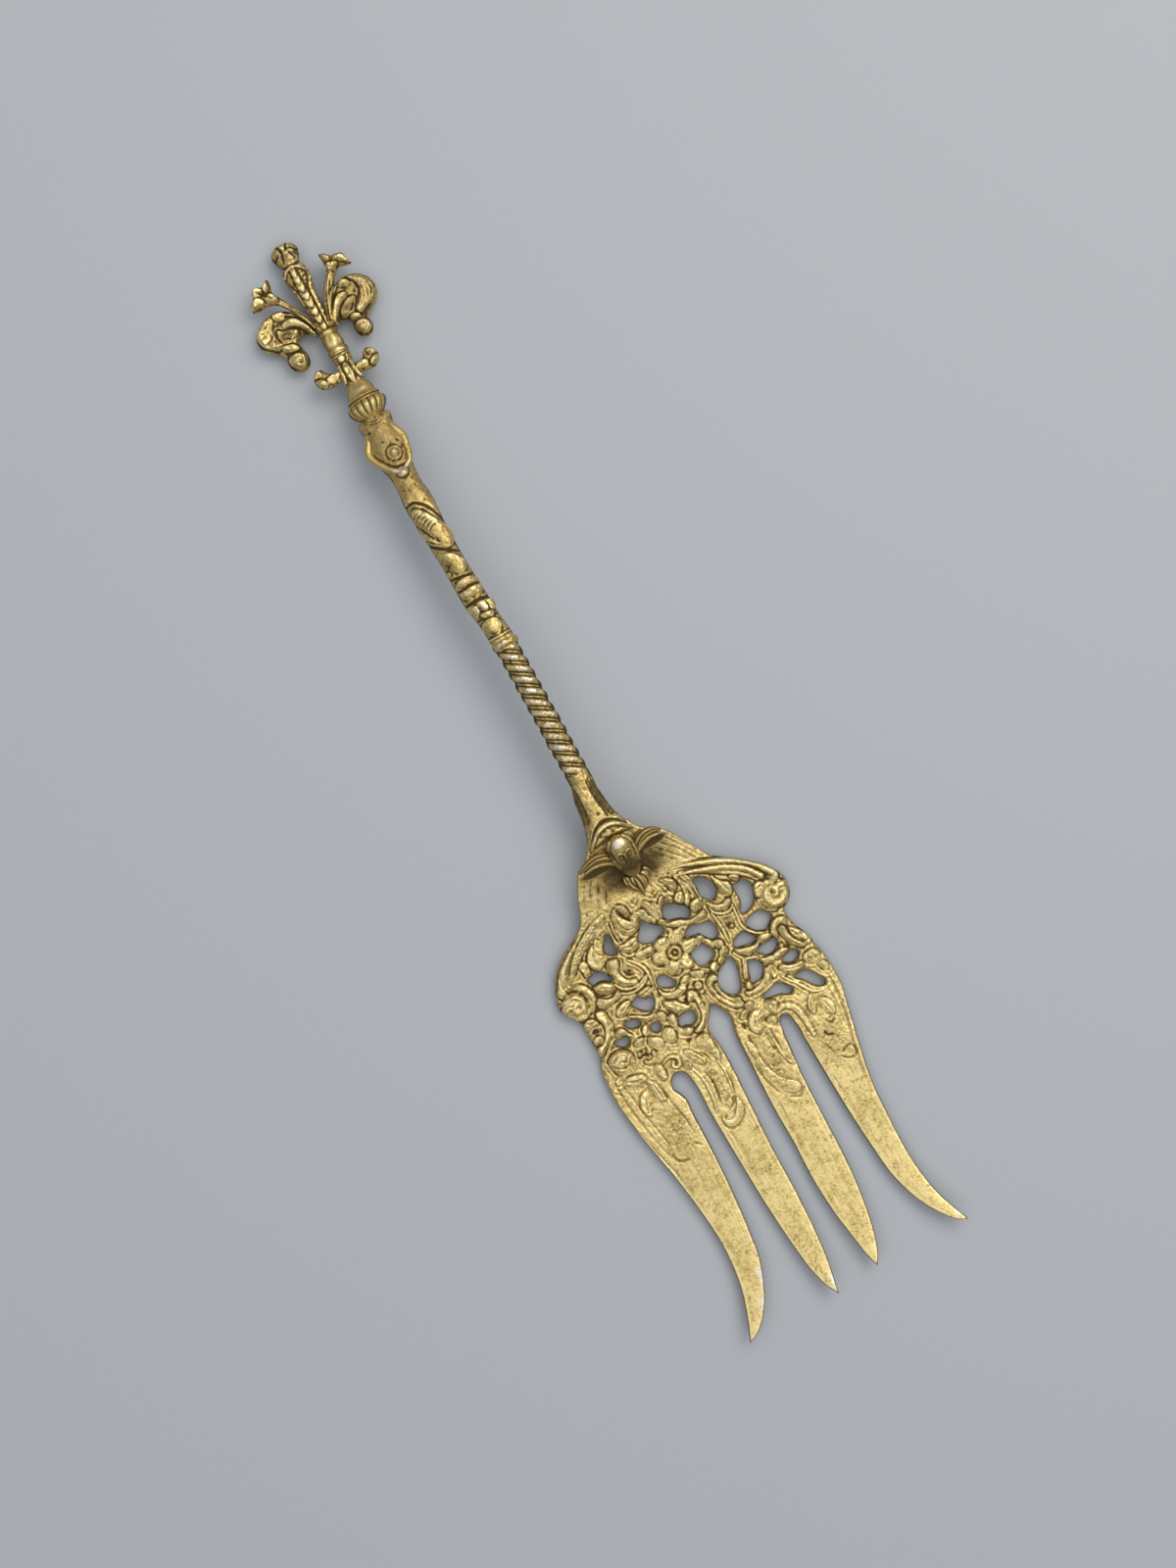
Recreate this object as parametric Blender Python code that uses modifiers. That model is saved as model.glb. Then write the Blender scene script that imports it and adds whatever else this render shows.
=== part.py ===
# Serving fork: pierced four-tine head, rope stem, half figure and bound finial.
# Lengths are in millimetres until solid() scales them; x across, y towards the finial, z up.
import math

import bmesh
import bpy
from mathutils import Matrix

for old in list(bpy.data.objects):
    bpy.data.objects.remove(old, do_unlink=True)

MM = 0.001

# Lengths along the fork, from the tine tips to the finial tip
HEAD_LEN = 95.0
NECK_LEN = 11.0
STEM_LEN = 28.0
COLLAR_LEN = 2.0
TAIL_LEN = 28.5
TORSO_LEN = 18.5
SHELL_LEN = 3.5
DOME_LEN = 4.0
STALK_LEN = 6.5
BAND_LEN = 4.8
PLUME_LEN = 18.2

# Cross sizes
HEAD_WIDTH = 48.6
PLATE_T = 1.8
TIP_T = 1.0
MASK_R = 2.6
STEM_R = 2.1
COLLAR_R = 2.45
NECK_R = 2.3
NECK_MOUTH = 4.5
TAIL_R = 2.3
TORSO_R = 2.9
SHELL_R = 3.8
DOME_R = 3.05
STALK_R = 1.8
BAND_R = 2.1
PLUME_R = 2.3
ARM_R = 0.85
BELL_R = 1.9
BELL_FOOT = 0.35
PLUME_FOOT = 1.05
LEAF_R = 1.85
VOLUTE_R = 0.85

# Joints
PEG_R = 1.0
PEG_LEN = 3.0
TONGUE_W = 3.4
TONGUE_LEN = 4.0
SOLDER_GAP = 0.12

# Twist of the stem
STEM_LEAD = 6.9
STEM_STARTS = 3

TOTAL_LEN = (HEAD_LEN + NECK_LEN + STEM_LEN + COLLAR_LEN + TAIL_LEN + TORSO_LEN + SHELL_LEN
             + DOME_LEN + STALK_LEN + BAND_LEN + PLUME_LEN)
TIP_Y = -TOTAL_LEN / 2
NECK_Y = TIP_Y + HEAD_LEN
STEM_Y = NECK_Y + NECK_LEN
COLLAR_Y = STEM_Y + STEM_LEN
TAIL_Y = COLLAR_Y + COLLAR_LEN
TORSO_Y = TAIL_Y + TAIL_LEN
SHELL_Y = TORSO_Y + TORSO_LEN
DOME_Y = SHELL_Y + SHELL_LEN
STALK_Y = DOME_Y + DOME_LEN
BAND_Y = STALK_Y + STALK_LEN
PLUME_Y = BAND_Y + BAND_LEN
END_Y = PLUME_Y + PLUME_LEN

# Height of the handle's centre line and its small sideways set, at each joint
ROOT_Z = 6.6
AXIS_Z = [(NECK_Y, ROOT_Z), (STEM_Y, 7.9), (COLLAR_Y, 8.6), (TORSO_Y, 7.6), (SHELL_Y, 6.0),
          (STALK_Y, 4.5), (PLUME_Y, 2.8), (END_Y, 2.4)]
AXIS_X = [(NECK_Y, 0.0), (COLLAR_Y, 0.1), (TAIL_Y + 10, -0.8), (TORSO_Y, -1.15),
          (TORSO_Y + 12, -1.15), (STALK_Y, -0.6), (END_Y, -0.5)]

# Right half of the head's outline from root to middle slot: x, distance from the tips, 1 for a corner
OUTLINE = [(4.4, 95.0, 1), (5.6, 93.6, 0), (7.4, 92.2, 0), (9.0, 91.0, 0), (10.2, 89.4, 0),
           (12.8, 84.4, 0), (14.1, 82.3, 1), (16.2, 81.0, 0), (20.6, 77.7, 0), (22.6, 75.6, 0),
           (24.1, 72.6, 0), (24.2, 70.4, 0), (23.2, 68.4, 0), (21.6, 66.8, 1), (22.0, 63.0, 0),
           (22.7, 59.6, 0), (22.5, 58.2, 1), (23.5, 55.5, 0), (23.7, 51.0, 0), (23.0, 46.0, 0),
           (20.9, 34.0, 0), (19.6, 22.0, 0), (19.6, 13.5, 0), (20.5, 8.0, 0), (23.3, 0.0, 1),
           (20.0, 2.4, 0), (17.4, 5.6, 0), (15.0, 11.5, 0), (13.2, 24.0, 0), (12.5, 40.0, 0),
           (12.5, 48.0, 0), (11.2, 50.3, 0), (9.8, 48.0, 0), (9.4, 40.0, 0), (8.7, 22.0, 0),
           (7.8, 12.0, 0), (6.5, 5.5, 0), (4.4, 0.4, 1), (3.1, 6.5, 0), (2.2, 14.0, 0),
           (1.85, 28.0, 0), (1.95, 48.0, 0), (2.5, 54.5, 0), (1.6, 57.6, 0)]

# The tables of the head keep the outline's own scale, and head_point() fits them to HEAD_LEN and HEAD_WIDTH
DRAWN_LEN = OUTLINE[0][1]
DRAWN_WIDTH = 2 * max(x for x, along, corner in OUTLINE)

# Height of the underside of the head, and its thickness, against the distance from the tine tips
BACK_Z = [(0.0, 2.6), (8.0, 1.3), (16.0, 0.5), (26.0, 0.0), (66.0, 0.0), (74.0, 0.4),
          (82.0, 1.7), (89.0, 3.6), (DRAWN_LEN, ROOT_Z - PLATE_T / 2)]
BEND_CUTS = [3, 6, 9, 12, 16, 21, 26, 66, 70, 74, 78, 82, 86, 89, 92, 95]
SHEET = [(0.0, TIP_T), (30.0, PLATE_T), (DRAWN_LEN, PLATE_T)]

# Pierced openings between the scrolls: x, distance from the tips
OPENINGS = [
    [(9.5, 80.0), (10.8, 80.0), (12.0, 77.6), (11.8, 75.6), (10.7, 74.8), (9.6, 76.0), (9.1, 78.4)],
    [(15.6, 75.7), (17.0, 75.6), (18.2, 73.4), (17.4, 71.2), (15.6, 70.2), (14.4, 70.3), (15.1, 72.6)],
    [(14.1, 68.2), (15.5, 69.0), (17.2, 69.1), (18.6, 67.6), (17.6, 65.7), (16.4, 65.3), (14.8, 66.2)],
    [(1.4, 76.3), (2.3, 78.1), (3.6, 78.0), (5.3, 76.6), (5.7, 74.9), (4.6, 74.3), (2.6, 75.2)],
    [(-5.0, 75.0), (-3.3, 77.9), (-2.3, 77.8), (0.2, 74.8), (-1.0, 73.9), (-3.4, 73.4), (-4.7, 73.9)],
    [(3.2, 72.0), (4.2, 72.5), (7.2, 72.2), (8.7, 70.6), (8.5, 69.0), (7.6, 68.4), (6.4, 69.4), (4.0, 70.8)],
    [(2.2, 67.4), (3.0, 68.6), (4.8, 68.6), (6.0, 66.2), (5.2, 65.1), (3.6, 64.9), (2.5, 65.5)],
    [(8.3, 64.0), (8.5, 62.0), (7.6, 58.3), (6.2, 56.8), (4.7, 57.3), (3.9, 60.0), (5.4, 63.0), (7.4, 64.2)],
    [(11.1, 61.8), (12.4, 60.8), (12.5, 59.4), (11.6, 58.0), (10.0, 58.0), (9.7, 59.2)],
    [(10.1, 65.9), (11.2, 66.8), (12.8, 66.7), (14.1, 65.2), (13.3, 64.4), (11.2, 64.8)],
    [(13.1, 62.1), (14.4, 63.0), (16.2, 63.4), (17.2, 62.4), (16.1, 61.3), (14.2, 61.4)],
    [(16.4, 58.6), (18.2, 59.2), (20.0, 59.2), (19.4, 58.2), (17.6, 57.9)],
    [(17.4, 55.0), (18.6, 55.4), (20.4, 54.5), (21.3, 52.5), (20.7, 51.1), (19.4, 52.2), (18.4, 53.7)],
    [(10.6, 54.7), (12.5, 55.5), (14.7, 55.8), (15.8, 54.4), (15.6, 53.1), (13.4, 53.8), (11.8, 54.1)],
    [(-10.0, 78.8), (-9.7, 77.4), (-9.9, 75.2), (-10.9, 74.9), (-11.3, 76.4), (-10.9, 78.0)],
    [(-16.6, 72.2), (-15.5, 73.8), (-14.0, 72.6), (-13.2, 70.9), (-14.2, 70.8), (-15.6, 71.7)],
    [(-5.7, 66.0), (-4.6, 67.1), (-3.4, 66.2), (-2.7, 64.3), (-3.6, 64.1), (-5.3, 65.0)],
    [(-11.6, 65.0), (-10.6, 65.8), (-8.3, 64.7), (-8.3, 63.4), (-9.1, 62.8), (-10.8, 63.8)],
    [(-14.9, 62.6), (-14.0, 62.9), (-12.5, 61.9), (-12.4, 61.0), (-13.6, 60.8), (-14.6, 61.5)],
    [(-10.9, 59.5), (-10.0, 60.2), (-9.2, 59.8), (-9.3, 58.8), (-10.2, 58.5)],
    [(-18.2, 60.1), (-17.3, 61.0), (-16.0, 60.6), (-15.4, 59.6), (-16.4, 58.9), (-17.6, 59.2)],
    [(-5.7, 58.1), (-4.6, 59.3), (-3.2, 59.1), (-2.5, 57.9), (-3.4, 56.6), (-5.0, 56.7)]]

# Raised scrolls on both sides of the head: x, distance from the tips, radius as a share of PLATE_T
SCROLLS = [
    [(8.4, 83.2, 0.28), (12.5, 81.7, 0.44), (16.8, 79.4, 0.56), (20.4, 76.6, 0.61), (22.6, 73.4, 0.67)],
    [(19.4, 73.4, 0.28), (18.4, 70.8, 0.56), (19.6, 68.6, 0.67), (22.0, 68.9, 0.67), (22.4, 71.0, 0.61)],
    [(20.6, 65.8, 0.39), (19.0, 64.6, 0.5), (19.2, 62.0, 0.56), (21.4, 59.8, 0.5)],
    [(3.6, 82.0, 0.28), (6.2, 81.2, 0.5), (7.0, 78.8, 0.5), (5.6, 77.4, 0.5)],
    [(2.6, 61.6, 0.33), (2.0, 59.2, 0.44), (3.0, 56.2, 0.44), (5.4, 55.2, 0.33)],
    [(10.0, 52.6, 0.28), (11.6, 53.0, 0.39), (14.0, 51.8, 0.39), (15.4, 49.2, 0.28)],
    [(18.4, 50.4, 0.22), (18.6, 47.8, 0.5), (18.4, 45.6, 0.28)],
    [(5.6, 52.6, 0.28), (6.0, 50.6, 0.5), (6.2, 48.2, 0.28)]]
FLOWER = (0.0, 69.8)
PETAL_RING = 2.7

parts = bpy.data.collections.new("Serving fork")
tools = bpy.data.collections.new("Tools")
bpy.context.scene.collection.children.link(parts)
bpy.context.scene.collection.children.link(tools)


def smooth(table, at):
    # value on a curve through the table, level where the table turns, held beyond its ends
    if at <= table[0][0]:
        return table[0][1]
    if at >= table[-1][0]:
        return table[-1][1]
    slopes = [(b[1] - a[1]) / (b[0] - a[0]) for a, b in zip(table, table[1:])]
    i = max(k for k in range(len(slopes)) if table[k][0] <= at)
    tangents = [slopes[0]] + [0.0] * (len(slopes) - 1) + [slopes[-1]]
    for k in (i, i + 1):
        if 0 < k < len(slopes) and slopes[k - 1] * slopes[k] > 0:
            tangents[k] = 2 / (1 / slopes[k - 1] + 1 / slopes[k])
    span = table[i + 1][0] - table[i][0]
    u = (at - table[i][0]) / span
    rest = 1 - u
    return (table[i][1] * rest * rest * (1 + 2 * u) + table[i + 1][1] * u * u * (3 - 2 * u)
            + span * (tangents[i] * u * rest * rest - tangents[i + 1] * u * u * rest))


def mesh_from(make):
    # runs one bmesh step and returns the welded, outward-facing mesh
    bm = bmesh.new()
    make(bm)
    bmesh.ops.remove_doubles(bm, verts=bm.verts, dist=1e-4)
    bmesh.ops.recalc_face_normals(bm, faces=bm.faces)
    mesh = bpy.data.meshes.new("solid")
    bm.to_mesh(mesh)
    bm.free()
    return mesh


def evaluated(obj):
    # the finished mesh of a curve or of an object with modifiers, and the object removed
    tools.objects.link(obj)
    graph = bpy.context.evaluated_depsgraph_get()
    made = bpy.data.meshes.new_from_object(obj.evaluated_get(graph))
    bpy.data.objects.remove(obj, do_unlink=True)
    return mesh_from(lambda bm: bm.from_mesh(made))


def solid(name, mesh, colour=None, laid=True):
    # a named piece of the fork, or a tool for a Boolean where no colour is given
    for vert in mesh.vertices:
        if laid:
            vert.co.z += smooth(AXIS_Z, vert.co.y)
            vert.co.x += smooth(AXIS_X, vert.co.y)
        vert.co *= MM
    obj = bpy.data.objects.new(name, mesh)
    if colour is None:
        tools.objects.link(obj)
        obj.hide_render = True
        obj.display_type = "WIRE"
        return obj
    parts.objects.link(obj)
    metal = bpy.data.materials.new(name)
    metal.use_nodes = True
    shader = metal.node_tree.nodes["Principled BSDF"]
    shader.inputs["Base Color"].default_value = (*colour, 1)
    shader.inputs["Metallic"].default_value = 1
    shader.inputs["Roughness"].default_value = 0.4
    mesh.materials.clear()
    mesh.materials.append(metal)
    return obj


def combine(obj, tool, operation, curled=False):
    # Boolean step; curled is for a bar that comes close to itself
    step = obj.modifiers.new(tool.name, "BOOLEAN")
    step.operation = operation
    step.solver = "EXACT"
    step.use_self = curled
    step.object = tool


def ring(y, half_w, half_h, count=24, lobes=0, depth=0.0, turn=0.0):
    # one cross section at y, with lobes as a share of the radius
    points = []
    for k in range(count):
        a = 2 * math.pi * k / count
        r = 1 + depth * math.cos(lobes * a)
        points.append((half_w * r * math.sin(a + turn), y, half_h * r * math.cos(a + turn)))
    return points


def loft(rings):
    # closed skin over rings of equal count, capped at both ends
    def make(bm):
        loops = [[bm.verts.new(p) for p in points] for points in rings]
        count = len(loops[0])
        for a, b in zip(loops, loops[1:]):
            for k in range(count):
                bm.faces.new((a[k], a[(k + 1) % count], b[(k + 1) % count], b[k]))
        bm.faces.new(loops[0])
        bm.faces.new(loops[-1])
    return mesh_from(make)


def peg(y, out, count=24):
    # rings of a peg that stands out of a joint face at y, from its end inwards
    return [ring(y + out * PEG_LEN, PEG_R, PEG_R, count), ring(y, PEG_R, PEG_R, count)]


def socket(y, inward, count=24):
    # rings of the hole that takes a peg at y, from its floor to its mouth
    r = PEG_R + SOLDER_GAP
    return [ring(y + inward * (PEG_LEN + SOLDER_GAP), r, r, count), ring(y, r, r, count)]


def swept(points, radii, sides=2, steps=3):
    # round bar of changing thickness along a smooth path
    curve = bpy.data.curves.new("path", "CURVE")
    curve.dimensions = "3D"
    curve.bevel_depth = 1
    curve.bevel_resolution = sides
    curve.resolution_u = steps
    curve.use_fill_caps = True
    spline = curve.splines.new("BEZIER")
    spline.bezier_points.add(len(points) - 1)
    for knot, point, radius in zip(spline.bezier_points, points, radii):
        knot.co = point
        knot.radius = radius
        knot.handle_left_type = "AUTO"
        knot.handle_right_type = "AUTO"
    return evaluated(bpy.data.objects.new("path", curve))


def ball(x, y, z, rx, ry, rz, segments=16):
    size = Matrix.Translation((x, y, z)) @ Matrix.Diagonal((rx, ry, rz, 1))
    return mesh_from(lambda bm: bmesh.ops.create_uvsphere(
        bm, u_segments=segments, v_segments=segments // 2, radius=1, matrix=size))


def turned(profile, y):
    # profile of (radius, distance from y), first to last away from the finial, turned about the handle
    frame = bpy.data.meshes.new("profile")
    edges = [(k, k + 1) for k in range(len(profile) - 1)]
    frame.from_pydata([(r, 0, along) for r, along in profile], edges, [])
    obj = bpy.data.objects.new("profile", frame)
    spin = obj.modifiers.new("turn", "SCREW")
    spin.steps = 24
    spin.render_steps = 24
    spin.use_merge_vertices = True
    spin.merge_threshold = 1e-4
    mesh = evaluated(obj)
    mesh.transform(Matrix.Translation((0, y, 0)) @ Matrix.Rotation(-math.pi / 2, 4, "X"))
    return mesh


def head_y(along):
    return TIP_Y + along * HEAD_LEN / DRAWN_LEN


def head_point(x, along, up):
    # a point of the head from its drawn place and its height above the underside
    return (x * HEAD_WIDTH / DRAWN_WIDTH, head_y(along), smooth(BACK_Z, along) + up)


GOLD = (0.66, 0.44, 0.12)
PALE_GOLD = (0.72, 0.52, 0.18)
DEEP_GOLD = (0.52, 0.34, 0.09)

# Head: filled outline with its openings, cut across and bent to the side profile
half = [(x, along, sharp) for x, along, sharp in OUTLINE]
rim = half + [(0.0, 58.6, 0)] + [(-x, along, sharp) for x, along, sharp in reversed(half)]
tongue = TONGUE_W / 2 * DRAWN_WIDTH / HEAD_WIDTH
end = DRAWN_LEN + (TONGUE_LEN - SOLDER_GAP) * DRAWN_LEN / HEAD_LEN
rim += [(-tongue, DRAWN_LEN, 1), (-tongue, end, 1), (tongue, end, 1), (tongue, DRAWN_LEN, 1)]
plan = bpy.data.curves.new("plan", "CURVE")
plan.dimensions = "2D"
plan.fill_mode = "BOTH"
plan.extrude = PLATE_T / 2
plan.resolution_u = 3
for loop in [rim] + [[(x, along, 0) for x, along in hole] for hole in OPENINGS]:
    spline = plan.splines.new("BEZIER")
    spline.use_cyclic_u = True
    spline.bezier_points.add(len(loop) - 1)
    for knot, (x, along, sharp) in zip(spline.bezier_points, loop):
        knot.co = (x, along, 0)
        knot.handle_left_type = "VECTOR" if sharp else "AUTO"
        knot.handle_right_type = "VECTOR" if sharp else "AUTO"
plate = evaluated(bpy.data.objects.new("plan", plan))


def bend(bm):
    bm.from_mesh(plate)
    for cut in BEND_CUTS:
        geometry = bm.verts[:] + bm.edges[:] + bm.faces[:]
        bmesh.ops.bisect_plane(bm, geom=geometry, plane_co=(0, cut, 0), plane_no=(0, 1, 0))
    bmesh.ops.triangulate(bm, faces=bm.faces)
    for vert in bm.verts:
        x, along, up = vert.co
        vert.co = head_point(x, along, (up / PLATE_T + 0.5) * smooth(SHEET, along))
        if along > DRAWN_LEN:
            vert.co.z = smooth(AXIS_Z, vert.co.y) + up


head = solid("pierced_head", mesh_from(bend), GOLD, laid=False)
SINK = 0.25
for index, path in enumerate(SCROLLS):
    for side in (1, -1):
        points = [head_point(side * x, along, PLATE_T + SINK) for x, along, r in path]
        scroll = swept(points, [r * PLATE_T for x, along, r in path], sides=1, steps=3)
        combine(head, solid(f"scroll_{index}_{side}", scroll, laid=False), "UNION")
for k in range(6):
    a = math.pi / 3 * k + math.pi / 6
    x, y, z = head_point(FLOWER[0] + PETAL_RING * math.sin(a), FLOWER[1] + PETAL_RING * math.cos(a), PLATE_T)
    petal = ball(0, 0, 0, 1.15, 1.5, 0.55, 12)
    petal.transform(Matrix.Translation((x, y, z)) @ Matrix.Rotation(-a, 4, "Z"))
    combine(head, solid(f"petal_{k}", petal, laid=False), "UNION")
boss = ball(*head_point(FLOWER[0], FLOWER[1], PLATE_T + 0.1), 1.45, 1.45, 1.0)
combine(head, solid("flower_boss", boss, laid=False), "UNION")

# Neck: fluted flare, slotted for the tongue of the head
neck_top = STEM_Y - SOLDER_GAP / 2
neck_foot = NECK_Y + SOLDER_GAP / 2
neck_rings = socket(neck_top, -1, 32)
for share, half_w, half_h, depth in [(0.0, 1.0, 1.0, 0.0), (0.06, 1.04, 1.02, 0.0), (0.12, 0.9, 0.95, 0.05),
                                     (0.4, 0.95, 0.97, 0.06), (0.65, 1.12, 1.02, 0.05),
                                     (0.8, 1.38, 1.1, 0.03), (0.9, 1.7, 1.2, 0.0), (1.0, None, 1.28, 0.0)]:
    across = NECK_MOUTH if half_w is None else NECK_R * half_w
    y = neck_top + (neck_foot - neck_top) * share
    neck_rings.append(ring(y, across, NECK_R * half_h, 32, 8, depth))
neck = solid("neck_socket", loft(neck_rings), GOLD)
slot_w = TONGUE_W / 2 + SOLDER_GAP
slot_t = PLATE_T / 2 + SOLDER_GAP
slot = loft([[(slot_w, y, slot_t), (slot_w, y, -slot_t), (-slot_w, y, -slot_t), (-slot_w, y, slot_t)]
             for y in (NECK_Y - 1, NECK_Y + TONGUE_LEN)])
combine(neck, solid("tongue_slot", slot), "DIFFERENCE")
hood = swept([(-NECK_MOUTH * 0.8, NECK_Y + 0.9, 1.6), (-1.9, NECK_Y + 1.6, 2.5), (0, NECK_Y + 1.8, 2.75),
              (1.9, NECK_Y + 1.6, 2.5), (NECK_MOUTH * 0.8, NECK_Y + 0.9, 1.6)], [0.35, 0.6, 0.65, 0.6, 0.35])
combine(neck, solid("hood_roll", hood), "UNION")

# Winged mask: seated on the plate, its underside cut to the plate's own bend
def mask_ball(x, along, up, across, length, high):
    # one rounded form of the mask; heights and radii are shares of MASK_R
    place = head_point(x, along, PLATE_T + up * MASK_R)
    return ball(*place, across * MASK_R, length * MASK_R, high * MASK_R)


def mask_bar(knots):
    # one bar of the mask from x, distance from the tips, height and radius, these two as shares of MASK_R
    points = [head_point(x, along, PLATE_T + up * MASK_R) for x, along, up, r in knots]
    return swept(points, [r * MASK_R for x, along, up, r in knots])


mask = solid("winged_mask", mask_ball(0.4, 91.9, 0.58, 1.0, 1.0, 1.0), PALE_GOLD, laid=False)
features = [mask_ball(0.4, 89.6, 0.46, 0.88, 1.0, 0.85), mask_ball(0.4, 86.6, 0.31, 0.62, 0.77, 0.65),
            mask_bar([(0.6, 86.0, 0.23, 0.5), (0.8, 84.0, 0.23, 0.42), (0.4, 82.2, 0.12, 0.15)])]
for side in (1, -1):
    features.append(mask_bar([(side * 1.4, 91.4, 0.35, 0.42), (side * 4.0, 91.4, 0.35, 0.38),
                              (side * 6.6, 91.6, 0.27, 0.29), (side * 8.8, 90.6, 0.08, 0.15)]))
for index, feature in enumerate(features):
    combine(mask, solid(f"mask_form_{index}", feature, laid=False), "UNION")
bed = [(head_y(a), smooth(BACK_Z, a) + PLATE_T + SOLDER_GAP) for a in BEND_CUTS[8:]]
floor_z = bed[0][1] - 6
bed = [(bed[0][0], floor_z)] + bed + [(NECK_Y - SOLDER_GAP, bed[-1][1] + 9), (NECK_Y + 4, bed[-1][1] + 9),
                                      (NECK_Y + 4, floor_z)]
seat = loft([[(x, y, z) for y, z in bed] for x in (-15, 15)])
combine(mask, solid("mask_seat", seat, laid=False), "DIFFERENCE")

# Rope stem with a peg at each end; the upper peg runs through the collar into the tail
stem_from = STEM_Y + SOLDER_GAP / 2
stem_to = COLLAR_Y - SOLDER_GAP / 2
count = 48
stem_rings = peg(stem_from, -1, 18)
for k in range(count + 1):
    y = stem_from + (stem_to - stem_from) * k / count
    turn = -2 * math.pi * (y - stem_from) / STEM_LEAD
    stem_rings.append(ring(y, STEM_R, STEM_R, 18, STEM_STARTS, 0.1, turn))
upper = ring(stem_to, PEG_R, PEG_R, 18)
stem_rings += [upper, [(x, y + COLLAR_LEN + PEG_LEN, z) for x, y, z in upper]]
solid("twisted_stem", loft(stem_rings), PALE_GOLD)

# Collar ring, bored for the stem's peg
bore = PEG_R + SOLDER_GAP
lip = COLLAR_LEN - SOLDER_GAP
turns = [(COLLAR_R * 0.86, lip), (COLLAR_R, lip * 0.8), (COLLAR_R, lip * 0.2), (COLLAR_R * 0.86, 0)]
solid("stem_collar", turned([(bore, lip)] + turns + [(bore, 0), (bore, lip)], COLLAR_Y + SOLDER_GAP / 2), GOLD)

# Tail: tapered core with a scaled band wound round it
tail_from = TAIL_Y + SOLDER_GAP / 2
tail_to = TORSO_Y - SOLDER_GAP / 2
tail_rings = socket(tail_from, 1)
for share, size in [(0.0, 0.92), (0.12, 0.88), (0.25, 0.9), (0.5, 0.92), (0.8, 0.98), (1.0, 1.0)]:
    y = tail_from + (tail_to - tail_from) * share
    tail_rings.append(ring(y, TAIL_R * size, TAIL_R * size))
tail_rings += peg(tail_to, 1)[::-1]
tail = solid("scaled_tail", loft(tail_rings), GOLD)
WRAPS = 4
BAND_T = 0.85
winding = []
for k in range(WRAPS * 8 + 1):
    share = k / (WRAPS * 8)
    a = -2 * math.pi * WRAPS * share - 0.6
    y = tail_to - 2.2 - (tail_to - tail_from - 4.4) * share ** 0.85
    r = TAIL_R * 0.82
    winding.append((r * -math.sin(a), y, r * math.cos(a)))
wound = swept(winding, [BAND_T] * len(winding), sides=1, steps=2)
combine(tail, solid("tail_band", wound), "UNION")

# Torso: waist, hips, chest and shoulders, with the two folded arms and the round boss
torso_from = TORSO_Y + SOLDER_GAP / 2
torso_to = SHELL_Y - SOLDER_GAP / 2
torso_rings = socket(torso_from, 1)
for share, half_w, half_h in [(0.0, 0.84, 0.84), (0.15, 0.78, 0.8), (0.3, 0.78, 0.82), (0.42, 0.92, 0.84),
                              (0.6, 1.02, 0.88), (0.75, 0.98, 0.86), (0.86, 1.1, 0.88), (0.95, 1.22, 0.9),
                              (1.0, 1.15, 0.85)]:
    y = torso_from + (torso_to - torso_from) * share
    torso_rings.append(ring(y, TORSO_R * half_w, TORSO_R * half_h))
torso_rings += peg(torso_to, 1)[::-1]
torso = solid("figure_torso", loft(torso_rings), PALE_GOLD)
for side in (1, -1):
    # across, along and up as shares of the torso's radius, length and radius
    elbow = [(1.08, 0.88, 0.21), (1.26, 0.67, 0.24), (0.86, 0.51, 0.55), (0.21, 0.36, 0.76)]
    points = [(side * TORSO_R * x, torso_from + TORSO_LEN * y, TORSO_R * z) for x, y, z in elbow]
    arm = swept(points, [ARM_R, ARM_R * 1.05, ARM_R * 0.9, ARM_R])
    combine(torso, solid(f"arm_{side}", arm), "UNION")
boss_r = TORSO_R * 0.52
boss = ball(TORSO_R * 0.19, torso_from + TORSO_LEN * 0.56, TORSO_R * 0.69, boss_r, boss_r, boss_r * 0.8)
combine(torso, solid("belly_boss", boss), "UNION")

# Shell cup: fluted, opening towards the dome
shell_from = SHELL_Y + SOLDER_GAP / 2
shell_to = DOME_Y - SOLDER_GAP / 2
shell_rings = socket(shell_from, 1, 48)
shell_rings[0] = ring(shell_to, PEG_R + SOLDER_GAP, PEG_R + SOLDER_GAP, 48)
for share, size, depth in [(0.0, 0.62, 0.02), (0.3, 0.84, 0.05), (0.7, 0.97, 0.06), (1.0, 1.0, 0.05)]:
    y = shell_from + (shell_to - shell_from) * share
    shell_rings.append(ring(y, SHELL_R * size, SHELL_R * size * 0.86, 48, 16, depth))
shell_rings.append(shell_rings[0])


def open_loft(rings):
    # skin over rings whose last ring is the first again, as round a through hole
    def make(bm):
        loops = [[bm.verts.new(p) for p in points] for points in rings[:-1]]
        count = len(loops[0])
        for a, b in zip(loops, loops[1:] + loops[:1]):
            for k in range(count):
                bm.faces.new((a[k], a[(k + 1) % count], b[(k + 1) % count], b[k]))
    return mesh_from(make)


solid("shell_cup", open_loft(shell_rings), GOLD)

# Dome cap: turned, with a socket below for the torso's peg and one above for the stalk
dome_from = DOME_Y + SOLDER_GAP / 2
dome_h = DOME_LEN - SOLDER_GAP
low = dome_h * 0.42
profile = [(0, dome_h * 0.62), (bore, dome_h * 0.62), (bore, dome_h), (DOME_R * 0.74, dome_h),
           (DOME_R * 0.9, dome_h * 0.8), (DOME_R, dome_h * 0.45), (DOME_R, dome_h * 0.1),
           (DOME_R * 0.95, 0), (bore, 0), (bore, low), (0, low)]
solid("dome_cap", turned(profile, dome_from), PALE_GOLD)

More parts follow.
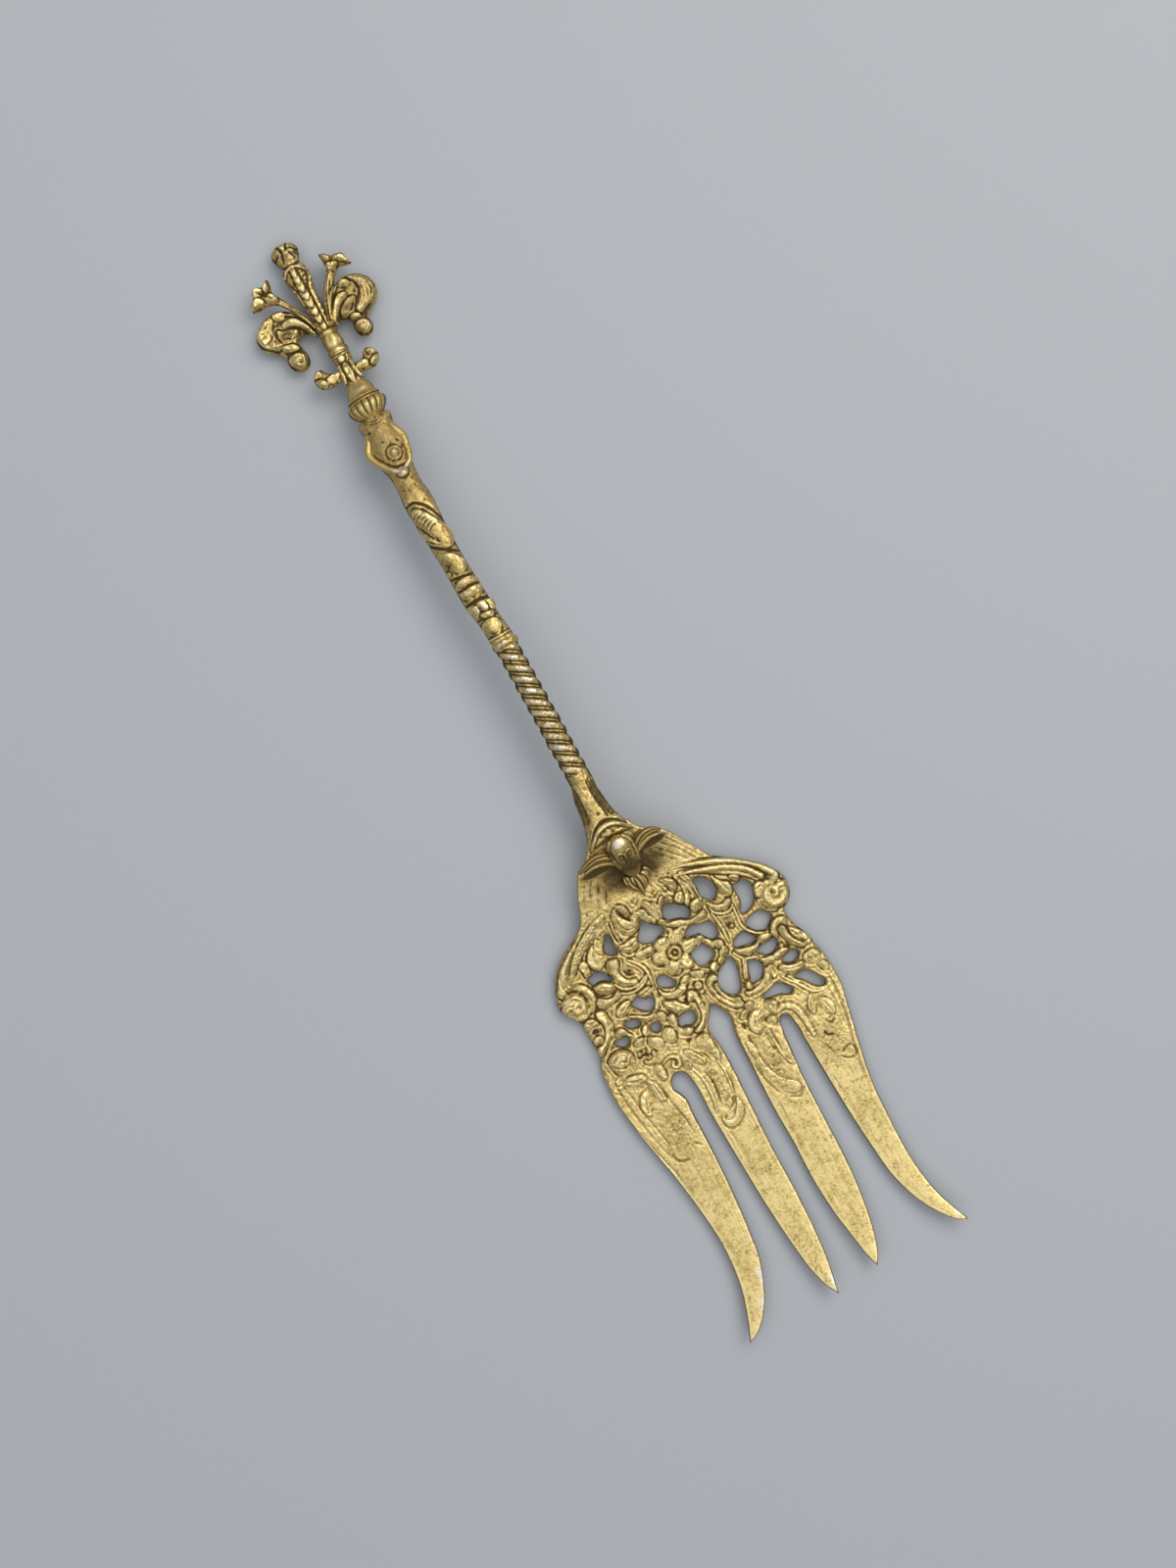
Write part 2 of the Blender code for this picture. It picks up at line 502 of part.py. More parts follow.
# Stalk between dome and band, pegged at both ends
stalk_from = STALK_Y + SOLDER_GAP / 2
stalk_to = BAND_Y - SOLDER_GAP / 2
stub = dome_h * 0.38 - SOLDER_GAP
stalk_rings = [ring(stalk_from - stub, PEG_R, PEG_R), ring(stalk_from, PEG_R, PEG_R)]
for share, size in [(0.0, 1.05), (0.2, 1.12), (0.45, 0.92), (0.7, 0.9), (1.0, 1.0)]:
    stalk_rings.append(ring(stalk_from + (stalk_to - stalk_from) * share, STALK_R * size, STALK_R * size))
band_half = BAND_LEN / 2 - SOLDER_GAP
stalk_rings += [ring(stalk_to, PEG_R, PEG_R), ring(stalk_to + band_half, PEG_R, PEG_R)]
solid("finial_stalk", loft(stalk_rings), GOLD)

# Small volutes soldered to the sides of the stalk
for side, name in ((1, "volute_right"), (-1, "volute_left")):
    start = STALK_R * 1.12 + SOLDER_GAP + VOLUTE_R
    path = [(start, stalk_from + 4.4, 0), (start, stalk_from + 2.2, 0), (start + 0.9, stalk_from + 1.3, 0),
            (start + 2.2, stalk_from + 2.2, 0), (start + 2.2, stalk_from + 4.0, 0.2),
            (start + 1.5, stalk_from + 4.6, 0.4)]
    path = [(side * x, y, z) for x, y, z in path]
    solid(name, swept(path, [VOLUTE_R * k for k in (0.6, 1, 1, 1, 0.95, 0.7)]), GOLD)

# Binding band: three rounded bands, bored for the pegs of stalk and plume
band_from = BAND_Y + SOLDER_GAP / 2
band_h = BAND_LEN - SOLDER_GAP
turns = []
for k in range(3):
    top = band_h * (1 - k / 3)
    wide = (1.0, 0.9, 0.84)[k]
    turns += [(BAND_R * wide * 0.88, top), (BAND_R * wide, top - band_h * 0.09),
              (BAND_R * wide, top - band_h * 0.25), (BAND_R * wide * 0.88, top - band_h / 3 + 0.02)]
solid("binding_band", turned([(bore, band_h)] + turns + [(bore, 0.02), (bore, band_h)], band_from), PALE_GOLD)

# Plume: banded column and lobed bud, pegged into the band
plume_from = PLUME_Y + SOLDER_GAP / 2
stub = BAND_LEN / 2 - SOLDER_GAP
plume_rings = [ring(plume_from - stub, PEG_R, PEG_R), ring(plume_from, PEG_R, PEG_R)]
for share, size, depth in [(0.0, None, 0.0), (0.12, None, 0.0), (0.3, 0.5, 0.03), (0.5, 0.78, 0.05), (0.68, 1.0, 0.06),
                           (0.76, 0.95, 0.06), (0.8, 0.84, 0.08), (0.84, 1.12, 0.1), (0.92, 1.14, 0.1),
                           (0.97, 0.9, 0.06), (1.0, 0.4, 0.0)]:
    y = plume_from + (END_Y - plume_from) * share
    across = PLUME_FOOT if size is None else PLUME_R * size
    plume_rings.append(ring(y, across, across * 0.85, 24, 6, depth))
solid("plume", loft(plume_rings), PALE_GOLD)

# Bell flowers and scrolled acanthus leaves, standing on the band's upper face beside the plume
for side, hand in ((1, "right"), (-1, "left")):
    foot = PLUME_Y + SOLDER_GAP / 2
    inner = PLUME_FOOT + SOLDER_GAP + BELL_FOOT
    path = [(inner, foot, 0.9), (inner, foot + 0.8, 1.0), (inner + 0.6, foot + 2.6, 1.1), (4.2, foot + 7.0, 0.9),
            (6.4, foot + 9.8, 0.8), (8.2, foot + 11.6, 0.8)]
    path = [(side * x, y, z) for x, y, z in path]
    bell = solid(f"bell_{hand}", swept(path, [BELL_FOOT, BELL_FOOT, 0.5, 0.7, 1.0, BELL_R]), PALE_GOLD)
    mouth = ball(side * 8.6, foot + 12.0, 0.8, BELL_R * 0.72, BELL_R * 0.72, BELL_R * 0.72)
    combine(bell, solid(f"bell_mouth_{hand}", mouth), "DIFFERENCE")
    path = [(inner, foot, -0.9), (inner, foot + 0.6, -0.9), (3.8, foot + 3.4, -0.9), (6.6, foot + 5.0, -0.7),
            (9.0, foot + 4.6, -0.7), (9.4, foot + 2.4, -0.8), (7.9, foot + 0.3, -0.8), (6.4, foot - 1.2, -0.8),
            (5.7, foot - 2.4, -0.8)]
    path = [(side * x, y, z) for x, y, z in path]
    sizes = [0.2, 0.3, 0.85, 1.0, 1.0, 1.0, 0.86, 0.68, 0.72]
    leaf = solid(f"acanthus_{hand}", swept(path, [LEAF_R * k for k in sizes]), GOLD)
    web = ball(side * 6.6, foot + 2.6, -0.9, 3.0, 2.4, 0.9)
    combine(leaf, solid(f"leaf_web_{hand}", web), "UNION", curled=True)
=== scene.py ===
import math

import bpy
import numpy as np
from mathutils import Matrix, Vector, geometry


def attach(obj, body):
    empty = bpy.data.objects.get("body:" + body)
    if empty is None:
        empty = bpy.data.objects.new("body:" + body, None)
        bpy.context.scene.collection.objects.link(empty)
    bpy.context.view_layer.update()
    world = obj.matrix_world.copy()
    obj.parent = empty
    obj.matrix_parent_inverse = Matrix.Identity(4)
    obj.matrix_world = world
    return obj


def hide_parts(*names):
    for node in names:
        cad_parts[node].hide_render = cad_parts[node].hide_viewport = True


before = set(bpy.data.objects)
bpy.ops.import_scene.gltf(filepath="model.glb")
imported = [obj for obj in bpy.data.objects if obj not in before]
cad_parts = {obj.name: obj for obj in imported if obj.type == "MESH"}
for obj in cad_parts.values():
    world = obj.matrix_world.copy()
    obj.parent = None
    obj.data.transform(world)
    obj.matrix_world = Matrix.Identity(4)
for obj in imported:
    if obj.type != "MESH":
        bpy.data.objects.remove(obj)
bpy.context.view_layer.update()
link = bpy.context.scene.collection.objects.link
mm = 0.001  # everything below is drawn in millimetres: x across, y from tine tips to finial, z up
print("frame loaded:", len(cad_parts), "solids")


# Curves

def smoothPath(points, step, closed=False):
    # Catmull-Rom curve on chord lengths through the points, then cut into even steps along its length
    p = np.asarray(points, float)
    if closed:
        p = np.vstack([p[-1:], p, p[:2]])
    gap = np.maximum(np.linalg.norm(np.diff(p[:, :2], axis=0), axis=1), 1e-6)[:, None]
    slope = np.diff(p, axis=0) / gap
    inner = (slope[1:] * gap[:-1] + slope[:-1] * gap[1:]) / (gap[1:] + gap[:-1])
    tangent = np.vstack([slope[:1], inner, slope[-1:]])
    if closed:
        p, gap, tangent = p[1:-1], gap[1:-1], tangent[1:-1]
    u = np.linspace(0, 1, 24, endpoint=False)[None, :, None]
    a, b, ta, tb, g = p[:-1, None], p[1:, None], tangent[:-1, None], tangent[1:, None], gap[:, None]
    curve = (a * (1 - u) ** 2 * (1 + 2 * u) + b * u ** 2 * (3 - 2 * u)
             + g * (ta * u * (1 - u) ** 2 - tb * u ** 2 * (1 - u)))
    curve = np.vstack([curve.reshape(-1, p.shape[1]), p[-1:]])
    run = np.concatenate([[0], np.cumsum(np.linalg.norm(np.diff(curve[:, :2], axis=0), axis=1))])
    at = np.linspace(0, run[-1], max(2, math.ceil(run[-1] / step)) + 1)
    even = np.stack([np.interp(at, run, column) for column in curve.T], axis=1)
    return even[:-1] if closed else even


def cornered(points, step):
    # closed outline from (x, y): smooth but for the points with a third value, which are sharp corners
    p = np.array([point[:2] for point in points], float)
    marks = np.array([k for k, point in enumerate(points) if len(point) > 2])
    ring = np.vstack([p[marks[0]:], p[:marks[0] + 1]])
    marks = np.append(marks - marks[0], len(p))
    return np.vstack([smoothPath(ring[a:b + 1], step)[:-1] for a, b in zip(marks, marks[1:])])


def along(table, at):
    # monotone cubic through (place, value) pairs: level where the values turn, held beyond the ends
    xs, ys = np.array(table, float).T
    slope = np.diff(ys) / np.diff(xs)
    both = slope[:-1] * slope[1:]
    total = slope[:-1] + slope[1:]
    inner = np.where(both > 0, 2 * both / np.where(both > 0, total, 1), 0)
    tangent = np.concatenate([slope[:1], inner, slope[-1:]])
    at = np.clip(at, xs[0], xs[-1])
    i = np.clip(np.searchsorted(xs, at, side="right") - 1, 0, len(slope) - 1)
    span = xs[i + 1] - xs[i]
    u = (at - xs[i]) / span
    v = 1 - u
    return (ys[i] * v * v * (1 + 2 * u) + ys[i + 1] * u * u * (3 - 2 * u)
            + span * (tangent[i] * u * v * v - tangent[i + 1] * u * u * v))


def ease(low, high, value):
    # smooth step from 0 at low to 1 at high
    t = np.clip((value - low) / (high - low), 0, 1)
    return t * t * (3 - 2 * t)


def dome(q):
    # quarter circle: 1 at the middle, 0 at q = 1
    return np.sqrt(np.clip(1 - q * q, 0, 1))


def mound(q):
    # parabola: 1 at the middle, 0 at q = 1
    return np.clip(1 - q * q, 0, 1)


def bell(value, middle, width):
    # gaussian bump
    return np.exp(-((value - middle) / width) ** 2)


def merged(ground, rise):
    # greater of two heights with a softened seam
    return 0.5 * (ground + rise + np.sqrt((ground - rise) ** 2 + 0.004))


def oddCrossings(start, end, x, y):
    # whether a ray from each point crosses the edges an odd number of times, so that the point lies inside
    x, y = x[..., None], y[..., None]
    crossed = (start[:, 1] > y) != (end[:, 1] > y)
    fall = np.where(crossed, end[:, 1] - start[:, 1], 1)
    at = start[:, 0] + (y - start[:, 1]) / fall * (end[:, 0] - start[:, 0])
    return (crossed & (at > x)).sum(-1) % 2 == 1


def nearestOnPath(path, x, y):
    # distance of every point from the path and its place along the path, 0 to 1
    gap = (x[..., None] - path[:, 0]) ** 2 + (y[..., None] - path[:, 1]) ** 2
    at = gap.argmin(-1)
    step = np.gradient(path[:, :2], axis=0)
    step /= np.maximum(np.linalg.norm(step, axis=1, keepdims=True), 1e-9)
    dx, dy = x - path[at, 0], y - path[at, 1]
    side = np.abs(step[at, 0] * dy - step[at, 1] * dx)
    ahead = step[at, 0] * dx + step[at, 1] * dy
    past = ((at == 0) & (ahead < 0)) | ((at == len(path) - 1) & (ahead > 0))
    return np.where(past, np.sqrt(gap.min(-1)), side), at / (len(path) - 1)


def blurred(field, cells, wrap=False):
    # gaussian blur of a height map, rows then columns; wrap joins the columns' ends
    reach = int(3 * cells)
    taps = np.exp(-0.5 * (np.arange(-reach, reach + 1) / cells) ** 2)
    taps /= taps.sum()
    for axis in (0, 1):
        mode = "wrap" if wrap and axis == 1 else "edge"
        pad = [(reach, reach) if k == axis else (0, 0) for k in (0, 1)]
        wide = np.pad(field, pad, mode=mode)
        size = field.shape[axis]
        field = sum(tap * np.take(wide, range(k, k + size), axis=axis) for k, tap in enumerate(taps))
    return field


# Relief: a height map in plan that is chased with strokes, bosses and pits

class Relief:
    def __init__(self, low, high, cell=0.1):
        self.cell = cell
        self.x = np.arange(low[0], high[0] + cell, cell)
        self.y = np.arange(low[1], high[1] + cell, cell)
        self.height = np.zeros((len(self.y), len(self.x)))
        self.matted = np.zeros_like(self.height)
        self.silver = np.zeros_like(self.height)
        # layer of painted shade and stains, read as hollows
        self.shadeAndStain = np.zeros_like(self.height)
        self.cover = np.zeros_like(self.height)

    def window(self, low, high):
        # rows, columns and places of the cells inside a box
        cols = slice(*np.searchsorted(self.x, (low[0], high[0])))
        rows = slice(*np.searchsorted(self.y, (low[1], high[1])))
        x, y = np.meshgrid(self.x[cols], self.y[rows])
        return rows, cols, x, y

    def stroke(self, points, half, height, ends=(0.4, 0.4), form="rib", gutter=0.16, ridges=0):
        # q is the distance from the path over the local half width, and each form is a section in q
        path = smoothPath(points, 0.12)
        rows, cols, x, y = self.window(path.min(0) - half - 0.9, path.max(0) + half + 0.9)
        if not x.size:
            return
        away, t = nearestOnPath(path, x, y)
        swell = along([(0, ends[0]), (0.5, 1), (1, ends[1])], t)
        q = away / (half * swell)
        rise = dome(q)
        if form == "leaf":
            rise = rise * (1 - 0.4 * bell(away, 0, 0.15))
        if form == "band":
            rise = np.clip(1 - q ** 4, 0, 1)
        if ridges:
            rise = rise * (0.82 + 0.18 * np.cos(2 * np.pi * t * ridges))
        ground = self.height[rows, cols]
        if form == "groove":
            self.height[rows, cols] = ground - height * mound(q)
            return
        ground = ground - gutter * bell(away, half * swell + 0.05, 0.14)
        self.height[rows, cols] = np.where(q < 1, merged(ground, rise * height * swell ** 0.5), ground)
        self.cover[rows, cols] = np.maximum(self.cover[rows, cols], q < 1)

    def boss(self, x0, y0, r, height, form="ball", gutter=0.16, stretch=1.0, turn=0.0):
        # round, oval, ringed or spiral boss; a negative height is a pit
        reach = r * max(1, stretch) + 0.9
        rows, cols, x, y = self.window((x0 - reach, y0 - reach), (x0 + reach, y0 + reach))
        c, s = math.cos(turn), math.sin(turn)
        dx, dy = (x - x0) * c + (y - y0) * s, ((y - y0) * c - (x - x0) * s) / stretch
        away, turnAt = np.hypot(dx, dy), np.arctan2(dx, dy)
        q = away / r
        rise = dome(q)
        if form == "ring":
            rise = bell(q, 0.68, 0.24) + 0.75 * bell(q, 0, 0.26)
        if form == "volute":
            rise = rise * (0.8 + 0.2 * np.cos(turnAt + q * 9.5))
        ground = self.height[rows, cols]
        if height < 0:
            self.height[rows, cols] = ground + height * mound(q)
            return
        ground = ground - gutter * bell(away, r + 0.05, 0.14)
        self.height[rows, cols] = np.where(q < 1, merged(ground, rise * height), ground)

    def pad(self, points, height, soft, gutter=0.1, grow=0.2, tilt=0.7, lobes=0.0):
        # cushion inside a closed outline widened by grow, rounded over soft at its edge, in a ditch of uneven depth,
        # one long side higher than the other, and notched into slanting lobes along its length
        loop = smoothPath(points, 0.12, closed=True)
        rows, cols, x, y = self.window(loop.min(0) - 0.8, loop.max(0) + 0.8)
        away = nearestOnPath(np.vstack([loop, loop[:1]]), x, y)[0]
        inside = oddCrossings(loop, np.roll(loop, -1, axis=0), x, y)
        depth = np.where(inside, away, -away) + grow
        middle = loop.mean(0)
        spread, axes = np.linalg.eigh(np.cov((loop - middle).T))
        across, reach = ((x - middle[0]) * axes[0, k] + (y - middle[1]) * axes[1, k] for k in (0, 1))
        lean = np.clip(across / (1.7 * math.sqrt(spread[0])), -1, 1) * np.sign(axes[1, 0] + 0.01)
        uneven = 0.5 + 0.5 * np.sin(1.7 * x + 2.3 * np.sin(1.1 * y)) * np.sin(1.9 * y + 1.3)
        gutter = gutter * (0.3 + 1.4 * uneven) * (1 + 0.8 * lean)
        ground = self.height[rows, cols] - gutter * bell(np.minimum(depth + 0.04, 0), 0, 0.1)
        edge = np.clip(depth / (soft * (1 - 0.4 * lean)), 0, 1)
        rise = height * (1 - (1 - edge) ** 2) ** 0.8 * (1 + tilt * lean)
        slant = reach - 0.9 * np.abs(across) + 0.4 * middle[0]
        notch = (0.5 + 0.5 * np.cos(2 * np.pi * slant / 1.7)) ** 6 * ease(0.05, 0.35, depth)
        rise = rise - gutter * bell(depth, 0, 0.1) - 0.1 * bell(depth, 0.55, 0.1) - lobes * notch
        self.height[rows, cols] = np.where(depth > 0, np.maximum(rise, 0.5 * (ground + rise)), ground)
        self.cover[rows, cols] = np.maximum(self.cover[rows, cols], depth > 0)

    def echo(self, gap, height, weight):
        # ridges that follow the drawn forms at every gap outside them, lower farther away
        away = np.where(self.cover > 0, 0.0, 9.0)
        for _ in range(26):
            for dy, dx in ((0, 1), (0, -1), (1, 0), (-1, 0), (1, 1), (1, -1), (-1, 1), (-1, -1)):
                away = np.minimum(away, np.roll(away, (dy, dx), axis=(0, 1)) + self.cell * math.hypot(dx, dy))
        ridge = 0.5 - 0.5 * np.cos(2 * np.pi * np.minimum(away, 3) / gap)
        self.height += np.where(self.cover > 0, 0, height * ridge ** 0.7 * np.exp(-away / 2.2)) * weight

    def wash(self, layer, *patches):
        # soft oval patches of a surface layer: x, y, half width, half height, amount
        field = getattr(self, layer)
        x, y = np.meshgrid(self.x, self.y)
        for x0, y0, rx, ry, amount in patches:
            np.maximum(field, amount * np.exp(-(((x - x0) / rx) ** 2 + ((y - y0) / ry) ** 2) ** 2), out=field)

    def roughen(self, seed, coarse, fine, weight=1.0):
        # casting unevenness: two sizes of smooth noise, in millimetres of height
        rng = np.random.default_rng(seed)
        for size, amount in ((0.55, coarse), (0.2, fine)):
            grainy = blurred(rng.normal(size=self.height.shape), size / self.cell)
            self.height += amount * grainy / grainy.std() * weight

    def pick(self, field, x, y):
        # bilinear reading of a layer, held at its edges
        u = np.clip((x - self.x[0]) / self.cell, 0, len(self.x) - 1.001)
        v = np.clip((y - self.y[0]) / self.cell, 0, len(self.y) - 1.001)
        i, j = u.astype(int), v.astype(int)
        u, v = u - i, v - j
        return ((field[j, i] * (1 - u) + field[j, i + 1] * u) * (1 - v)
                + (field[j + 1, i] * (1 - u) + field[j + 1, i + 1] * u) * v)

    def shades(self, x, y):
        # hollows and crests: height against its blurred neighbourhood; the layer of painted shade and stains counts
        # as a hollow
        if not hasattr(self, "level"):
            fine, broad = blurred(self.height, 0.28 / self.cell), blurred(self.height, 0.9 / self.cell)
            self.level = 0.75 * (self.height - fine) + 0.3 * (self.height - broad)
            self.hollow = blurred(0.6 * (self.height - fine) + 0.4 * (self.height - broad), 0.08 / self.cell)
        level = self.pick(self.level, x, y)
        recess = np.maximum(np.clip(-self.pick(self.hollow, x, y) / 0.19, 0, 1), self.pick(self.shadeAndStain, x, y))
        return {"recess": recess, "crest": np.clip(level / 0.15, 0, 1),
                "matted": self.pick(self.matted, x, y), "silver": self.pick(self.silver, x, y)}


# Meshes

layers = ("recess", "crest", "matted", "silver")  # values that every vertex hands to the finish


def gridShell(rings, shades=None):
    # closed skin over rings (row, around, xyz), each end closed on its centre
    rows, around = rings.shape[:2]
    index = np.arange(rows * around).reshape(rows, around)
    nxt = np.roll(index, -1, axis=1)
    quads = np.stack([index[:-1], nxt[:-1], nxt[1:], index[1:]], axis=-1).reshape(-1, 4)
    first, last = rows * around, rows * around + 1
    low = np.stack([np.full(around, first), nxt[0], index[0]], axis=-1)
    high = np.stack([np.full(around, last), index[-1], nxt[-1]], axis=-1)
    shell = {"co": np.vstack([rings.reshape(-1, 3), rings[0].mean(0), rings[-1].mean(0)]),
             "quads": quads, "tris": np.vstack([low, high])}
    for key in layers:
        value = np.zeros((rows, around)) if shades is None or key not in shades else shades[key]
        shell[key] = np.concatenate([value.ravel(), [value[0].mean(), value[-1].mean()]])
    return shell


def sweep(path, size, around, groove=None):
    # round section carried along a path: path (row, xyz), radius for each row
    path = np.asarray(path, float)
    tangent = np.gradient(path, axis=0)
    tangent /= np.linalg.norm(tangent, axis=1, keepdims=True)
    side = np.cross(tangent, (0, 0, 1))
    side /= np.linalg.norm(side, axis=1, keepdims=True)
    lift = np.cross(side, tangent)
    a = np.linspace(0, 2 * np.pi, around, endpoint=False)[None, :]
    scale = np.ones((len(path), around)) if groove is None else groove(a, np.linspace(0, 1, len(path))[:, None])
    rings = (path[:, None] + side[:, None] * (np.sin(a) * size[:, None] * scale)[..., None]
             + lift[:, None] * (np.cos(a) * size[:, None] * scale)[..., None])
    level = scale - blurred(scale, 2.0, wrap=True)
    return gridShell(rings, {"recess": np.clip(-level / 0.1, 0, 1), "crest": np.clip(level / 0.1, 0, 1)})


def bar(knots, step, around, groove=None, cap=0.7):
    # sweep through (x, y, z, radius) knots, its ends rounded over the last part of their radius
    line = smoothPath(knots, step)
    run = np.concatenate([[0], np.cumsum(np.linalg.norm(np.diff(line[:, :3], axis=0), axis=1))])
    end = np.minimum(run, run[-1] - run)
    size = line[:, 3] * dome(1 - np.clip((end + 0.02) / np.maximum(line[:, 3] * cap, 0.05), 0, 1))
    return sweep(line[:, :3], size, around, groove)


def distanceMap(loops, low, high, cell=0.1, reach=1.4):
    # signed distance in plan from the outline's loops, positive in the metal, capped at reach
    x, y = np.arange(low[0], high[0] + cell, cell), np.arange(low[1], high[1] + cell, cell)
    away = np.full((len(y), len(x)), reach)
    flips = np.zeros((len(y), len(x) + 1), int)
    for loop in loops:
        ring = np.vstack([loop, loop[:1]])
        for start in range(0, len(loop), 40):
            part = ring[start:start + 41]
            cols = slice(*np.searchsorted(x, (part[:, 0].min() - reach, part[:, 0].max() + reach)))
            rows = slice(*np.searchsorted(y, (part[:, 1].min() - reach, part[:, 1].max() + reach)))
            gx, gy = np.meshgrid(x[cols], y[rows])
            away[rows, cols] = np.minimum(away[rows, cols], nearestOnPath(part, gx, gy)[0])
        a, b = ring[:-1], ring[1:]
        lowRow = np.ceil((np.minimum(a[:, 1], b[:, 1]) - y[0]) / cell).astype(int)
        highRow = np.ceil((np.maximum(a[:, 1], b[:, 1]) - y[0]) / cell).astype(int)
        count = highRow - lowRow
        which = np.repeat(np.arange(len(a)), count)
        row = np.arange(count.sum()) - np.repeat(np.cumsum(count) - count, count) + np.repeat(lowRow, count)
        share = (y[0] + row * cell - a[which, 1]) / (b[which, 1] - a[which, 1])
        col = np.ceil((a[which, 0] + share * (b[which, 0] - a[which, 0]) - x[0]) / cell).astype(int)
        np.add.at(flips, (row, np.clip(col, 0, len(x))), 1)
    inside = np.cumsum(flips, axis=1)[:, :-1] % 2 == 1
    holder = Relief(low, high, cell)
    holder.height = np.where(inside, away, -away)
    return holder


def castSheet(loops, spacing, topOf, bottomOf, shadesOf, rings=(0.05, 0.16, 0.33), backSpacing=0.6):
    # cast plate: outline and holes triangulated with an even field of points, a top height map,
    # a bottom height map, and a wall between their common rims
    def area(p):
        return 0.5 * np.sum(p[:, 0] * np.roll(p[:, 1], -1) - np.roll(p[:, 0], -1) * p[:, 1])
    loops = [loop if (area(loop) > 0) == (k == 0) else loop[::-1] for k, loop in enumerate(loops)]
    rim = np.vstack(loops)
    low, high = rim.min(0) - 0.6, rim.max(0) + 0.6
    apart = distanceMap(loops, low, high)
    starts = np.cumsum([0] + [len(loop) for loop in loops])
    follow = np.concatenate([np.roll(np.arange(a, b), -1) for a, b in zip(starts, starts[1:])])
    before = np.concatenate([np.roll(np.arange(a, b), 1) for a, b in zip(starts, starts[1:])])
    run = rim[follow] - rim[before]
    inward = np.stack([-run[:, 1], run[:, 0]], axis=1) / np.maximum(np.linalg.norm(run, axis=1), 1e-9)[:, None]

    def field(gap):
        # rings inside the rim, then a hexagonal field; gap may change with y
        points = [rim]
        for inset in rings:
            ringPoints = rim + inward * inset
            points.append(ringPoints[apart.pick(apart.height, *ringPoints.T) > inset * 0.85])
        for y0, y1, step in gap:
            rows = np.arange(y0, y1, step * 0.866)
            cols = np.arange(low[0], high[0], step)
            gx, gy = np.meshgrid(cols, rows)
            gx = gx + (np.arange(len(rows)) % 2)[:, None] * step / 2
            keep = apart.pick(apart.height, gx, gy) > rings[-1] + 0.42 * step
            points.append(np.stack([gx[keep], gy[keep]], axis=1))
        points = np.vstack(points)
        edges = np.stack([np.arange(len(rim)), follow], axis=1)
        made = geometry.delaunay_2d_cdt([Vector(p) for p in points], edges.tolist(), [], 0, 1e-7)
        out = np.array([tuple(v) for v in made[0]])
        tris = np.array(made[2])
        source = np.array([o[0] if o else -1 for o in made[3]])
        onRim = (source >= 0) & (source < len(rim))
        centre = out[tris].mean(1)
        doubt = np.flatnonzero(onRim[tris].all(1))
        keep = np.ones(len(tris), bool)
        keep[doubt] = oddCrossings(rim, rim[follow], *centre[doubt].T)
        place = np.full(len(rim), -1)
        place[source[onRim]] = np.flatnonzero(onRim)
        return out, tris[keep], place

    span = [(low[1], high[1], spacing)] if np.isscalar(spacing) else spacing
    top, topTris, topRim = field(span)
    back, backTris, backRim = field([(low[1], high[1], backSpacing)])
    gapTop, gapBack = apart.pick(apart.height, *top.T), apart.pick(apart.height, *back.T)
    gapTop[topRim], gapBack[backRim] = 0, 0
    coTop = np.column_stack([top, topOf(top[:, 0], top[:, 1], np.maximum(gapTop, 0))])
    coBack = np.column_stack([back, bottomOf(back[:, 0], back[:, 1], np.maximum(gapBack, 0))])
    shift = len(top)
    wall = np.stack([topRim, backRim + shift, backRim[follow] + shift, topRim[follow]], axis=1)
    shell = {"co": np.vstack([coTop, coBack]), "quads": wall, "tris": np.vstack([topTris, backTris[:, ::-1] + shift])}
    upper = shadesOf(top[:, 0], top[:, 1], gapTop)
    lower = {"recess": 0.25 + 0.6 * ease(0.5, 0.05, gapBack)}  # darker over the back, with painted shade on the walls and round the back's rims
    for key in layers:
        shell[key] = np.concatenate([upper.get(key, np.zeros(len(top))), lower.get(key, np.zeros(len(back)))])
    return shell


def makePiece(name, node, slot, *shells):
    # joins closed shells into one object that stands for a CAD node, in the finish of its slot
    start, co, quads, tris = 0, [], [], []
    for shell in shells:
        co.append(shell["co"])
        quads.append(shell["quads"] + start)
        tris.append(shell["tris"] + start)
        start += len(shell["co"])
    co, quads, tris = np.vstack(co), np.vstack(quads), np.vstack(tris)
    mesh = bpy.data.meshes.new(name)
    mesh.vertices.add(len(co))
    mesh.vertices.foreach_set("co", (co * mm).astype(np.float32).ravel())
    mesh.loops.add(quads.size + tris.size)
    mesh.loops.foreach_set("vertex_index", np.concatenate([quads.ravel(), tris.ravel()]).astype(np.int32))
    sizes = np.concatenate([np.full(len(quads), 4), np.full(len(tris), 3)])
    mesh.polygons.add(len(sizes))
    mesh.polygons.foreach_set("loop_start", (np.cumsum(sizes) - sizes).astype(np.int32))
    mesh.update(calc_edges=True)
    mesh.polygons.foreach_set("use_smooth", np.ones(len(sizes), bool))
    for key in layers:
        values = np.concatenate([shell[key] for shell in shells]).astype(np.float32)
        mesh.attributes.new(key, "FLOAT", "POINT").data.foreach_set("value", values)
    mesh.materials.append(finishes[slot])
    piece = bpy.data.objects.new(name, mesh)
    link(piece)
    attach(piece, "root")
    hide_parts(node)
    print(f"{name}: {2 * len(quads) + len(tris)} triangles")


# Finishes

